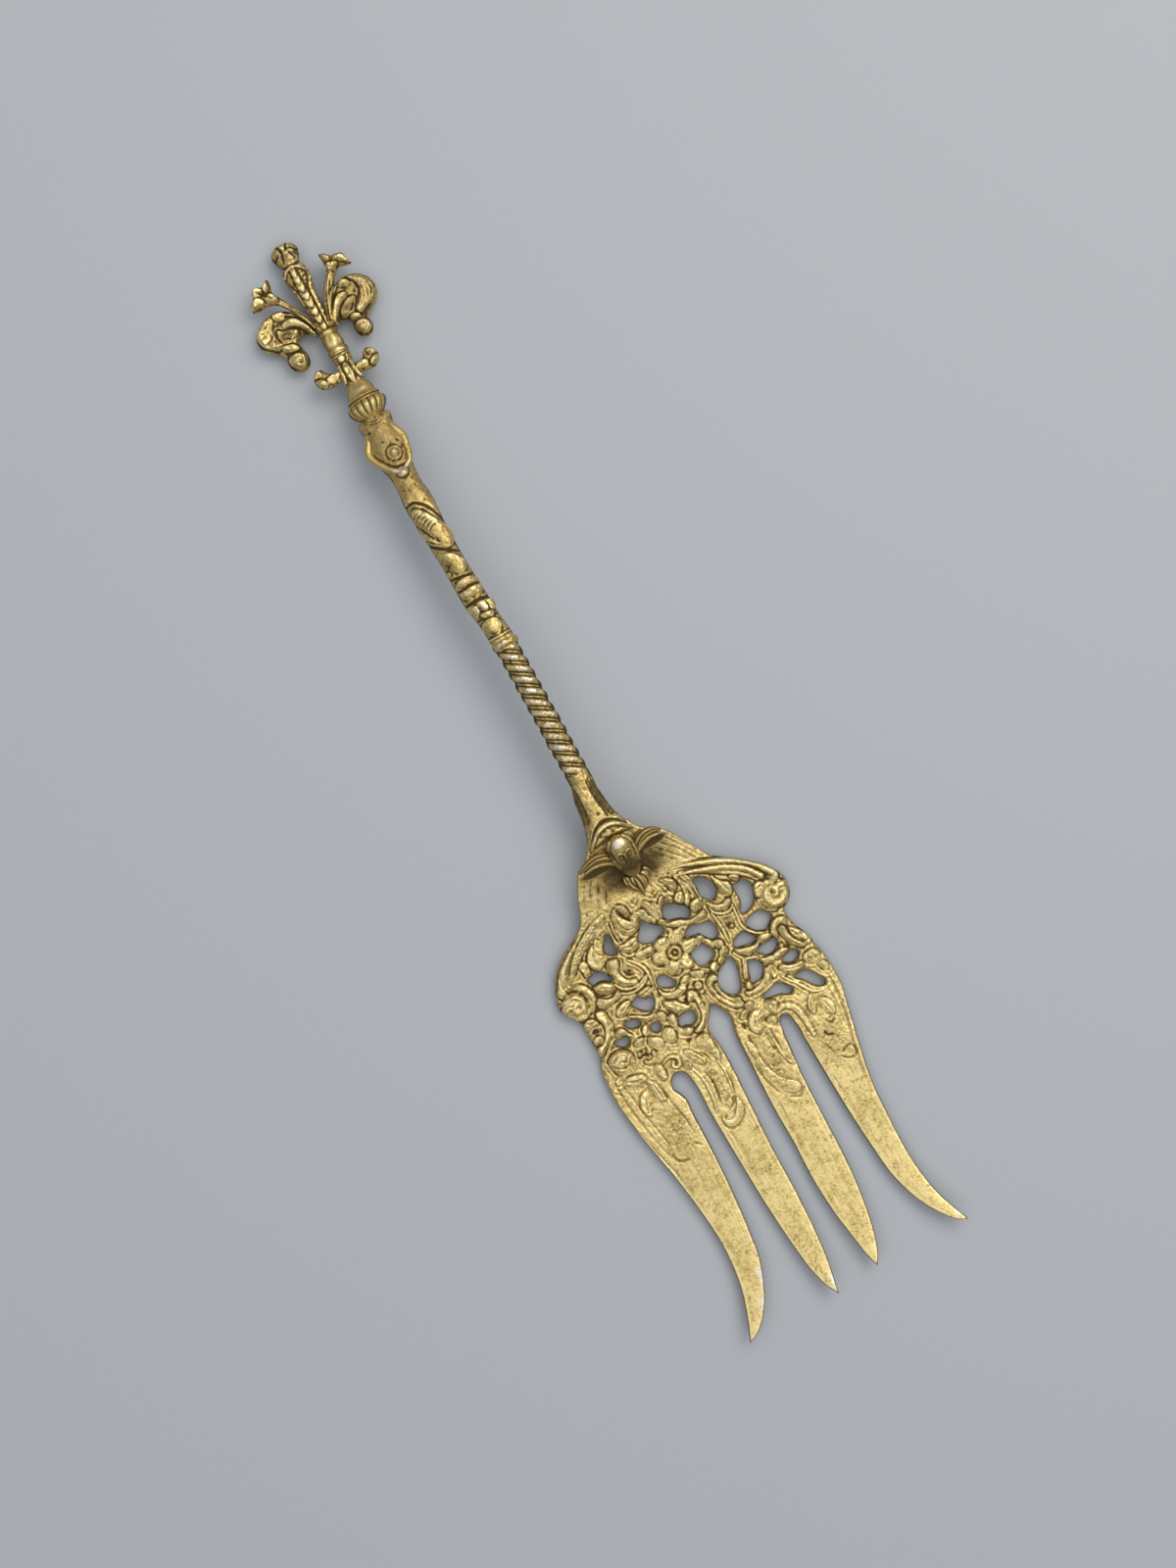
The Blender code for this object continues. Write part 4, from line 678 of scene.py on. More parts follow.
# pads: height, width over which the edge rounds, closed outline
pads = [
    # rim and shoulder, left
    (0.5, 1.0, [(-13.4, -28.4), (-16, -29.8), (-18.6, -31.4), (-20.8, -33.2), (-22.3, -35.3), (-23.1, -36.7),
        (-22.8, -37.6), (-21.5, -37.8), (-20.5, -36.8), (-20, -35.4), (-18.9, -33.4), (-17, -31.4), (-15, -29.9)]),
    (0.42, 0.6, [(-8.6, -27.6), (-11, -28), (-13, -28.9), (-15, -30.1), (-17, -31.7), (-18.7, -33.6), (-19.6, -35.4),
        (-18.8, -35), (-17.2, -33.6), (-15.6, -32.3), (-13.8, -31.1), (-11.6, -29.9), (-9.2, -28.9)]),
    (0.6, 0.8, [(-20.2, -37), (-18.9, -36.8), (-17.8, -37.6), (-17.2, -39), (-17.2, -40.4), (-17.8, -41.6),
        (-18.8, -42.4), (-19.7, -42.4), (-19.3, -41.2), (-19, -39.8), (-19.4, -38.4)]),
    (0.85, 1.5, [(-23.8, -39.4), (-22.8, -38.7), (-21.2, -38.7), (-20.1, -39.6), (-20, -40.6), (-20.7, -41.6),
        (-22, -42), (-23.2, -41.7), (-23.9, -40.8)]),
    # left middle
    (0.5, 0.8, [(-12.7, -31.6), (-14.3, -32.4), (-15.1, -33.5), (-15.2, -34.6), (-14.7, -35.9), (-14.1, -36.3),
        (-13, -35.8), (-11.9, -35.2), (-11.8, -34), (-12.3, -32.8)]),
    (0.4, 0.5, [(-11.9, -30.9), (-12.9, -32.2), (-12.9, -33), (-12, -33.9), (-11.6, -33.2), (-11.4, -31.8)]),
    (0.45, 0.5, [(-17.1, -34), (-16, -33.4), (-15.5, -34.3), (-15.8, -35.8), (-16.2, -36.5), (-16.8, -36.4),
        (-16.9, -35.2)]),
    (0.6, 0.9, [(-16.6, -38.6), (-15.4, -38.5), (-14.2, -38.9), (-13.3, -39.7), (-13.2, -40.7), (-14.4, -41),
        (-15.8, -40.6), (-16.6, -39.6)]),
    (0.6, 0.7, [(-12.4, -35.9), (-11.2, -35.6), (-10.4, -35.9), (-10.6, -37.2), (-11.2, -38.2), (-11, -39.4),
        (-10.3, -40.4), (-9, -41), (-9, -41.6), (-10.6, -41.5), (-12, -40.8), (-12.6, -39.4), (-12.8, -37.6)]),
    (0.5, 0.6, [(-17.6, -41.6), (-16.8, -40.9), (-15.9, -41.6), (-14.4, -41.9), (-13, -41.4), (-12.9, -42.2),
        (-14.4, -42.7), (-15.6, -42.9), (-16.6, -43), (-17.4, -42.6)]),
    # buds, lily and leaves above the flower
    (0.6, 0.7, [(-6.3, -27.6), (-6.1, -29), (-5.5, -30.2), (-4.6, -31), (-4.4, -30.3), (-3.7, -30.2), (-3.2, -31),
        (-3.2, -31.8), (-3.8, -32.8), (-5, -33.3), (-6.3, -33.1), (-7.2, -32), (-7.5, -30.4), (-7.3, -28.6)]),
    (0.65, 0.6, [(-5.9, -27.2), (-4.6, -27.8), (-4.2, -29), (-4.4, -30), (-5, -30), (-5.3, -29), (-5.7, -28.2)]),
    (0.5, 0.7, [(-8.9, -34.2), (-7.6, -34.2), (-6.2, -34), (-5.2, -34.3), (-5.2, -35.1), (-5.9, -35.8),
        (-7.2, -36.1), (-8.2, -35.8), (-8.9, -35)]),
    (0.4, 0.5, [(-3.3, -30), (-2.8, -30.2), (-2.2, -31.8), (-1.6, -32.9), (-2, -33), (-2.8, -31.8)]),
    (0.45, 0.5, [(-2.4, -30), (-1.8, -30.2), (-1.2, -31.8), (-0.6, -33.3), (-0.9, -33.6), (-1.7, -32.6),
        (-2.4, -31)]),
    (0.6, 0.6, [(-1.3, -29.3), (-0.7, -29), (-0.1, -29.6), (0.4, -31), (0.5, -32.4), (0.2, -33.5), (-0.3, -33.2),
        (-0.9, -31.8), (-1.3, -30.4)]),
    (0.45, 0.4, [(0.4, -29.9), (0.9, -30.4), (1.1, -31.6), (1, -33), (0.7, -33.5), (0.6, -32), (0.4, -30.8)]),
    (0.4, 0.5, [(1.2, -31.6), (1.6, -30.6), (2.6, -29.8), (2.7, -30.4), (2, -31.3), (1.5, -32.2)]),
    (0.5, 0.5, [(-0.3, -33.9), (0.3, -33.6), (0.9, -34), (0.9, -34.6), (0.3, -34.8), (-0.1, -34.5)]),
    (0.65, 0.6, [(3.7, -27), (4.8, -27.2), (5.8, -28), (6.1, -29), (5.6, -29.8), (4.9, -30), (4.6, -29),
        (4.2, -28)]),
    (0.65, 0.7, [(4.9, -30.9), (5.8, -30.7), (6.4, -31.2), (6.3, -32.2), (5.6, -32.8), (4.8, -32.3), (4.5, -31.6)]),
    (0.45, 0.5, [(2.9, -30.7), (3.6, -30.4), (4.1, -31.1), (3.7, -31.7), (3.1, -31.5)]),
    (0.5, 0.5, [(6.4, -27.4), (7.2, -28.8), (7.4, -31), (6.9, -32.8), (6.1, -33.7), (5.9, -33.3), (6.5, -32),
        (6.8, -30), (6.6, -28.6)]),
    (0.5, 0.7, [(6.4, -34), (7.4, -33.4), (8.4, -33.5), (8.5, -34.9), (7.4, -35.4), (6.4, -35.2)]),
    (0.5, 0.6, [(0.8, -35), (2, -34.9), (3.6, -35.4), (5, -36.2), (6.6, -36.2), (8.2, -36), (8.2, -36.8), (6, -37.1),
        (4.2, -36.8), (2.8, -36.1), (2.1, -36), (1.5, -35.6)]),
    (0.4, 0.6, [(-6.9, -36.9), (-5.2, -36.9), (-3.7, -37), (-3, -37.8), (-3.8, -38.4), (-5.4, -38.4),
        (-6.4, -38.2)]),
    # flower
    (0.5, 0.9, [(-3, -37.2), (-1.6, -36.5), (-0.4, -37), (-0.2, -38.3), (-1, -39), (-2.4, -38.8), (-3.2, -38.1)]),
    (0.5, 0.9, [(0.4, -38.8), (0.7, -37.2), (1.8, -36.5), (2.8, -36.9), (3.1, -37.8), (2.4, -39), (1.2, -39.4)]),
    (0.5, 0.8, [(1.4, -39.4), (3, -39.4), (4.2, -39.6), (4.3, -40.6), (3, -40.9), (1.4, -41)]),
    (0.55, 0.5, [(4.5, -39.8), (5.4, -39.7), (5.8, -40.4), (5.4, -40.9), (4.6, -40.7)]),
    (0.5, 0.9, [(0.5, -41.6), (1.6, -41.4), (2.2, -42.2), (2.2, -43.3), (1.6, -44), (0.4, -43.8), (-0.1, -42.8)]),
    (0.5, 0.9, [(-2.4, -41.6), (-1.1, -41.7), (-0.5, -42.6), (-0.9, -43.8), (-2, -44), (-3, -43.2), (-3.1, -42.2)]),
    (0.42, 0.9, [(-1.7, -39.5), (-3.2, -38.9), (-4.4, -39.3), (-4.6, -40.4), (-3.4, -41.2), (-1.8, -41)]),
    # shoulder shell and leaves, right
    (0.6, 0.8, [(18.3, -36.6), (19.6, -36.2), (20.4, -36.8), (20.7, -37.9), (20, -38.8), (19, -39), (18.1, -38.7),
        (18, -37.6)]),
    (0.5, 0.8, [(17.9, -39), (19, -39.3), (20, -39.4), (20.4, -40.4), (20.7, -41.6), (20.1, -42.4), (19, -42),
        (18, -40.8)]),
    (0.7, 1.1, [(21, -38.9), (22, -38.2), (23.4, -38), (24.2, -38.4), (24.3, -39.4), (23.7, -40.6), (22.6, -41),
        (21.4, -40.8), (20.9, -39.9)]),
    (0.45, 0.6, [(20.9, -41.2), (22, -41.5), (23.1, -41.2), (22.7, -42.1), (21.8, -42.5), (21, -42.3)]),
    (0.75, 0.8, [(21, -32.8), (22, -33.6), (23.1, -35.1), (23.5, -36.4), (23.1, -37.4), (22.2, -37.8), (21.3, -37.2),
        (21.2, -36.4), (21.8, -35.8), (21.8, -34.6), (21.2, -33.7)]),
    (0.6, 0.8, [(12.4, -31), (13.4, -32.6), (14.6, -33.4), (14.8, -34.8), (14.2, -35.7), (13.4, -35.8), (12.6, -35),
        (12.4, -34.6), (12.6, -33.6), (12.5, -32.2)]),
    (0.4, 0.4, [(15.4, -32.6), (16.2, -33), (16.8, -33.7), (16.3, -34.2), (15.8, -33.8)]),
    (0.55, 0.6, [(9.4, -34.8), (9.9, -35.3), (10.4, -36), (11.2, -36.4), (12, -36.5), (12.8, -36.2), (13.4, -36.4),
        (13.1, -37.2), (12.2, -37.6), (11, -37.4), (10, -36.8), (9.4, -35.9)]),
    # right of the flower
    (0.5, 0.5, [(5.2, -40.9), (5.9, -40.7), (6.6, -41.5), (6.9, -42.4), (6.3, -42.9), (5.7, -42.2)]),
    (0.5, 0.5, [(6.9, -41.8), (7.7, -41.9), (8.4, -42.6), (8.2, -43.6), (7.3, -43.6), (6.9, -42.9)]),
    (0.5, 0.5, [(8.3, -43.6), (8.6, -44.4), (7.8, -45.2), (6.9, -45), (7, -44.2), (7.6, -43.8)]),
    (0.55, 0.6, [(4.2, -45.7), (5.2, -45.2), (5.7, -45.7), (5.6, -46.5), (4.8, -46.9), (4.2, -46.4)]),
    (0.5, 0.5, [(6, -45.5), (6.7, -45), (7.2, -45.5), (6.8, -46.2), (6.2, -46.2)]),
    (0.45, 0.5, [(0.4, -44.9), (1.2, -45), (2, -45.4), (2.6, -46), (2.2, -46.5), (1.2, -46.2), (0.5, -45.6)]),
    (0.45, 0.5, [(2.4, -45.2), (3.2, -45.5), (3.7, -46), (3.3, -46.5), (2.8, -46.1)]),
    # left of the flower
    (0.55, 0.7, [(-15.3, -45.4), (-14.9, -44.4), (-14, -43.9), (-12.7, -43.7), (-12, -44), (-12.3, -44.9),
        (-13.2, -45.5), (-14.6, -45.9)]),
    (0.5, 0.6, [(-10.1, -43.8), (-8.8, -43.4), (-7.6, -43.4), (-7.4, -44.2), (-8.2, -44.9), (-9.2, -44.9),
        (-9.8, -44.4)]),
    (0.45, 0.5, [(-7.2, -43.8), (-6.6, -44.1), (-6.8, -45.6), (-7.4, -46.8), (-8, -47.8), (-8.5, -47.6),
        (-7.8, -46.4), (-7.4, -45.2)]),
    (0.55, 0.6, [(-6.2, -44.8), (-5.6, -45.8), (-4.6, -46.3), (-3.4, -46.4), (-2.2, -46), (-1.5, -46.6),
        (-2.2, -47.4), (-3.6, -47.7), (-5, -47.4), (-6, -46.4)]),
    (0.5, 0.5, [(-2.2, -45.9), (-1.6, -45.2), (-0.7, -44.9), (-0.1, -45.2), (-0.5, -46), (-1.4, -46.5),
        (-2, -46.4)]),
    (0.55, 0.9, [(-6.6, -47.2), (-5.6, -47.7), (-4.6, -48), (-4, -48.8), (-3.2, -49.6), (-2.7, -50.4), (-3.4, -50.7),
        (-4.6, -50.7), (-5.2, -50.8), (-5.9, -50.2), (-6.4, -49.2), (-6.7, -48.2)]),
    (0.45, 0.5, [(-13.6, -46.4), (-12.6, -46.8), (-11.4, -47.6), (-10.4, -48.1), (-9.2, -48.2), (-9, -48.9),
        (-10.4, -49), (-11.8, -48.4), (-12.7, -47.4)]),
    (0.5, 0.5, [(-17.4, -48.6), (-16.8, -47.8), (-16, -47.7), (-15.4, -48.3), (-15.1, -49.2), (-14.7, -49.8),
        (-15.3, -49.9), (-15.8, -49.2), (-16.6, -48.9), (-17.1, -48.9)]),
    (0.45, 0.6, [(-12.6, -50), (-11.8, -49.3), (-11.2, -49.6), (-11.2, -50.6), (-11.8, -51.2), (-12.6, -50.9)]),
    (0.45, 0.5, [(-15.2, -51.6), (-14, -51), (-13.2, -51.2), (-13.4, -51.9), (-14.6, -52.2)]),
    (0.42, 0.6, [(-9.4, -48.9), (-8.4, -48.4), (-7.6, -48.9), (-7.4, -49.8), (-8.2, -50.3), (-8.9, -49.6)]),
    (0.5, 0.6, [(-7.2, -50), (-6.4, -49.9), (-6, -50.7), (-6.2, -51.7), (-6.4, -52.6), (-6, -53.3), (-5, -53.5),
        (-4.2, -54), (-5, -54.8), (-6.2, -54.4), (-7, -53.2), (-7.4, -51.6)]),
    (0.4, 0.8, [(-9.6, -52.2), (-8.4, -51.6), (-7.7, -52.2), (-7.5, -53.6), (-8.2, -54.7), (-9.4, -54.2),
        (-10, -53.2)]),
    (0.4, 0.8, [(-12.4, -51.8), (-11, -52.2), (-10.2, -53), (-10.4, -54.2), (-11.4, -54.8), (-12.2, -54),
        (-12.8, -52.8)]),
    # lower side scroll, left
    (0.65, 0.8, [(-18.6, -43), (-17.3, -43.2), (-16.9, -45), (-17, -46.8), (-17.8, -48), (-19.2, -48.9),
        (-20.4, -49.9), (-21.5, -50.5), (-21.9, -49.8), (-21.4, -49), (-20.2, -48.6), (-19.2, -47.8), (-18.5, -46.6),
        (-18.4, -45), (-18.7, -44)]),
    (0.45, 0.6, [(-21.6, -44), (-20.4, -43.4), (-19.4, -44), (-19.2, -44.9), (-20, -44.8), (-21, -45),
        (-21.6, -45.2)]),
    (0.4, 0.6, [(-21.5, -47.4), (-20.6, -46.9), (-19.8, -47.3), (-19.9, -48.2), (-20.8, -48.5), (-21.5, -48.1)]),
    (0.75, 1.6, [(-20.9, -52), (-19.6, -51.2), (-18.2, -51.1), (-16.9, -51.8), (-16.4, -53), (-16.7, -54.3),
        (-18, -55.2), (-19.4, -55.5), (-20.4, -55), (-20.8, -53.9)]),
    (0.5, 0.5, [(-14.8, -55), (-14.4, -55.5), (-13.6, -55.5), (-13, -55), (-13, -54.4), (-12.6, -54.2), (-12.4, -55),
        (-12.9, -56), (-13.8, -56.3), (-14.6, -56), (-15, -55.4)]),
    # scrolls beside the middle slot
    (0.65, 0.6, [(-2, -48.1), (-1.2, -47.8), (-0.5, -48.3), (-0.3, -49.8), (-0.3, -51.4), (-0.8, -53), (-1.6, -54.2),
        (-2.5, -55), (-3.4, -55.2), (-4, -54.8), (-3.4, -54.4), (-2.2, -53.8), (-1.4, -52.6), (-1.2, -51),
        (-1.2, -49.6), (-1.6, -49)]),
    (0.7, 0.5, [(-2.2, -48.6), (-1.6, -48.2), (-1.1, -48.7), (-1.2, -49.4), (-1.9, -49.6), (-2.4, -49.2)]),
    (0.65, 0.6, [(2, -48.4), (2.8, -47.3), (3.8, -47.2), (4.3, -47.8), (4.1, -48.4), (3.5, -48.3), (2.9, -48.8),
        (2.8, -50), (3.2, -51.6), (4, -52.9), (5, -53.8), (6.2, -54.2), (6.2, -54.8), (5, -54.8), (3.8, -53.8),
        (2.8, -52.2), (2.2, -50.4)]),
    (0.55, 0.4, [(3.2, -49), (3.7, -48.9), (3.7, -50), (4.1, -51.6), (5, -52.8), (6.2, -53.4), (6, -54),
        (4.8, -53.5), (3.8, -52.2), (3.3, -50.6)]),
    # right middle
    (0.55, 0.6, [(9.8, -45.1), (10.6, -45.5), (12, -45.9), (13.4, -46.1), (14.2, -46), (13.8, -46.8), (12.6, -47.3),
        (11.4, -47.2), (10.4, -46.4), (9.8, -45.7)]),
    (0.5, 0.6, [(14.3, -45.4), (15.4, -45.1), (16.4, -45.4), (16.9, -46), (16.2, -46.6), (15, -46.7),
        (14.4, -46.2)]),
    (0.5, 0.5, [(10.3, -47.4), (10.9, -47.9), (10.5, -49), (9.9, -50.4), (9.3, -51), (8.8, -50.8), (9, -49.8),
        (9.6, -48.6)]),
    (0.5, 0.5, [(13, -49), (13.8, -49.2), (14.8, -49.3), (15.4, -49.6), (15.3, -50.2), (14.6, -50.6), (13.7, -50.2),
        (13.1, -49.6)]),
    (0.5, 0.6, [(15.5, -49.5), (16.6, -49.2), (17.9, -49.3), (18.4, -49.8), (17.6, -50.3), (16.4, -50.6),
        (15.6, -50.4)]),
    (0.6, 0.7, [(15.4, -51.9), (16.2, -51.9), (16.9, -52.4), (18, -52.8), (19, -52.8), (19.6, -53.2), (19.4, -54.1),
        (18.4, -54.4), (17, -54.2), (16, -53.6), (15.4, -52.8)]),
    (0.6, 0.7, [(7.6, -53), (8.6, -53.3), (10, -53.2), (11.4, -52.7), (12.4, -51.8), (13, -50.8), (13.6, -51.4),
        (13.4, -52.8), (12.6, -53.6), (11, -54), (9, -54.1), (7.8, -53.8)]),
    (0.45, 0.5, [(13.5, -50.9), (14.4, -51), (14.7, -52), (14.3, -53), (13.6, -53.3), (13.7, -52.2)]),
    (0.65, 0.6, [(17.2, -45.6), (17.8, -44.5), (18.8, -43.8), (20, -43.8), (20.8, -44.4), (20.8, -45.2),
        (20.3, -45.8), (19.9, -45.4), (19.6, -45), (18.8, -45), (18.3, -45.6), (18, -46.6), (17.6, -47.2),
        (17.3, -46.6)]),
    (0.75, 0.5, [(18.7, -45.6), (19.4, -45.4), (19.8, -46.2), (19.8, -47.4), (20.2, -48.6), (20.9, -49.6),
        (21.6, -50.6), (20.9, -50.7), (19.8, -49.8), (19, -48.4), (18.6, -46.8)]),
    (0.5, 0.6, [(20.5, -46.4), (21.3, -47), (22.1, -48), (22.8, -49), (23, -50.2), (22.5, -50.8), (21.8, -50.4),
        (21, -49), (20.4, -47.6)]),
    (0.4, 0.6, [(20.2, -52.4), (21.4, -52), (22.7, -52.2), (23.2, -53.2), (22.8, -54.2), (21.8, -54.4),
        (20.6, -54)]),
    (0.4, 0.6, [(22, -54.7), (23, -54.8), (23.6, -55.8), (23.2, -56.6), (22.3, -56)]),
    # roots of the tines
    (0.42, 0.9, [(-20.6, -57), (-19.8, -56.4), (-18.6, -56.4), (-17.4, -56.7), (-16.4, -57.2), (-16.2, -58),
        (-17, -58.8), (-18.2, -59), (-19.4, -58.6), (-20.3, -57.8)]),
    (0.35, 0.4, [(-21.5, -56), (-20.8, -55.6), (-20.4, -56), (-20.7, -56.6), (-21.3, -56.8)]),
    (0.5, 0.6, [(-14.2, -57.2), (-13.6, -56.8), (-12.9, -57), (-12.6, -57.8), (-12.6, -59), (-13, -59.9),
        (-13.8, -59.8), (-14.2, -58.8)]),
    (0.34, 0.6, [(-7.4, -71.2), (-6.9, -72), (-6, -72.4), (-5, -71.8), (-4, -70.6), (-3.2, -69.2), (-2.8, -70.2),
        (-3.2, -71.8), (-4.4, -73.1), (-5.8, -73.7), (-7, -73.4), (-7.5, -72.5)]),
    (0.3, 0.6, [(3.4, -61), (4.1, -62), (4.1, -65), (4.7, -68), (5.9, -70.4), (7.5, -71.6), (8.3, -72.6),
        (7.9, -73.6), (6.8, -73.8), (5.6, -72.8), (4.5, -70.6), (3.5, -67.6), (3.1, -64)]),
    (0.4, 0.7, [(-17.3, -60.1), (-17.2, -61.4), (-17.9, -63.2), (-19, -64.6), (-19.6, -63.4), (-19.4, -61.6),
        (-18.5, -60.3)]),
    (0.4, 0.6, [(-16.2, -58.6), (-15.4, -59.4), (-14.9, -61.2), (-15.2, -63.4), (-15.8, -63.2), (-16.4, -61.4)]),
    (0.45, 0.8, [(-5.7, -57), (-4.8, -56.2), (-3.4, -55.9), (-2.4, -56.2), (-2.2, -57.4), (-2.1, -59), (-2.1, -60.6),
        (-2.6, -61.8), (-3.2, -60.4), (-4, -58.8), (-5, -57.8)]),
    (0.45, 0.6, [(-7.8, -57), (-7, -57.2), (-6.2, -58.2), (-5.4, -59.4), (-5, -60.6), (-5.6, -61), (-6.6, -60),
        (-7.4, -58.6)]),
    (0.45, 0.4, [(-8.9, -59.4), (-8.3, -59.1), (-7.8, -59.7), (-8.1, -60.4), (-8.7, -60.3)]),
    (0.45, 0.5, [(4.4, -57), (5, -56.2), (6, -55.9), (6.4, -56.4), (5.8, -57), (5, -57.3)]),
    (0.5, 0.9, [(5.2, -58.8), (6, -57.4), (7, -56.8), (8, -57), (8.4, -58), (8, -59.6), (7, -60.6), (6, -60.8),
        (5.3, -60)]),
    (0.4, 0.5, [(6.2, -55.2), (7.2, -54.9), (7.8, -55.4), (7.2, -56), (6.5, -55.9)]),
    (0.55, 0.7, [(9.7, -56.6), (10.4, -56.3), (11.2, -56.6), (11.8, -57.4), (11.4, -58.2), (10.6, -59), (9.9, -58.4),
        (9.6, -57.4)]),
    (0.5, 0.6, [(8.6, -59.6), (9.4, -59.2), (10.2, -59.6), (10.4, -60.2), (9.9, -60.8), (9, -60.6)]),
    (0.42, 0.6, [(18, -59.2), (18.2, -60.6), (17.6, -62.2), (17, -62.8), (16.5, -61.6), (16.9, -60.2)]),
    (0.42, 0.7, [(19, -60.6), (20.2, -61.2), (20.9, -62.6), (20.2, -64.4), (19.3, -63.8), (18.7, -62.2)])]

# chased lines, by half width and depth
chasing = {
    (0.2, 0.16): [
        [(-22, -55.8), (-21.8, -58), (-21.7, -60.5), (-21.4, -63), (-20.9, -66.5), (-20.2, -70), (-19.3, -73.6)],
        [(5.9, -73.1), (6.6, -72.4), (7.6, -72.8)],
        [(21.9, -55.8), (22.6, -57.6), (22.7, -59.5), (22.5, -62), (22.2, -64.5), (21.7, -67), (20.9, -70),
         (20.3, -73), (19.8, -76), (19.2, -81)]],
    (0.18, 0.16): [[(-20.7, -57.6), (-20.3, -60), (-20, -62), (-19.7, -64.6), (-19.1, -67.4), (-18.5, -71)]],
    (0.2, 0.14): [[(-22.3, -66), (-21.6, -69.5), (-20.8, -73), (-20, -76), (-19.5, -80), (-19, -85)]],
    (0.28, 0.22): [[(-18.9, -72.9), (-18.6, -74.2), (-17.8, -74.8), (-16.6, -75)]],
    (0.24, 0.18): [[(-14.2, -72.8), (-13.2, -73.8)]],
    (0.18, 0.15): [[(-14.5, -61), (-14.3, -64), (-13.8, -66.5), (-13.4, -69), (-13.3, -71.4)]],
    (0.18, 0.1): [
        [(-12.8, -75), (-12.9, -78), (-13.1, -82)], [(3.1, -73), (3.1, -77), (3, -81)],
        [(8.5, -75), (8.3, -79), (8.2, -83)], [(14.3, -74.6), (14.4, -77), (14.5, -80), (14.6, -84)]],
    (0.16, 0.14): [
        [(-5.2, -57.2), (-4.2, -56.8), (-3.2, -57), (-2.8, -58.2)], [(16, -68.6), (16.4, -70), (16.7, -71.2)]],
    (0.2, 0.2): [
        [(-5, -58.8), (-4.5, -59.6), (-4.2, -61)], [(-3, -62.6), (-2.7, -64.8), (-2.8, -67), (-3.4, -68.6)],
        [(-3.4, -69.8), (-3.5, -69), (-4, -69), (-4.2, -69.8), (-5, -70.4)]],
    (0.22, 0.2): [
        [(-6.2, -62.2), (-5.8, -64), (-5.9, -66.5), (-6.4, -68.8)],
        [(4.2, -60.4), (4.1, -62.5), (4.2, -64.6), (4.5, -66.6), (5, -68.6), (5.4, -70.3), (6.2, -71.1)],
        [(2.6, -65.8), (2.9, -68.5), (3.4, -70.5), (4.1, -72.4)],
        [(17.6, -72.2), (18.4, -72.9), (19.4, -73.2), (20.3, -72.9), (20.5, -71.9), (20, -71), (19, -70.9),
         (18.2, -71.4)]],
    (0.26, 0.25): [
        [(-2.7, -71), (-3.2, -72.2), (-4.6, -73.4), (-6, -73.9), (-7.1, -73.6), (-7.6, -72.6), (-7.4, -71.7),
         (-6.6, -71.4)]],
    (0.2, 0.12): [[(-7.4, -74.2), (-7.3, -77), (-7.3, -81), (-7.2, -85)]],
    (0.18, 0.12): [[(-2.6, -71.4), (-2.7, -75), (-2.8, -79), (-2.9, -84)]],
    (0.17, 0.14): [[(7.3, -61.4), (7.2, -64), (7.4, -66.4), (7, -67.4), (6, -67.6), (5.2, -67.2)]],
    (0.2, 0.18): [[(8.4, -61.4), (8.4, -64), (8.2, -66.5), (8.5, -68.6), (9.3, -69.2)]],
    (0.22, 0.18): [[(5.4, -74), (6.2, -74.3), (7, -74.8), (7.9, -74.3), (8.7, -73.6)]],
    (0.18, 0.14): [[(21.4, -59.6), (21.5, -61.6), (21.4, -64), (21, -67)]],
    (0.16, 0.12): [[(23.3, -57), (23.5, -59), (23.3, -62)]],
    (0.4, 0.2): [[(16.9, -66.6), (17.3, -67.4), (18, -67.6)]],
    (0.25, 0.2): [[(18.2, -64.8), (19, -65.6), (19.8, -65.2)]]}

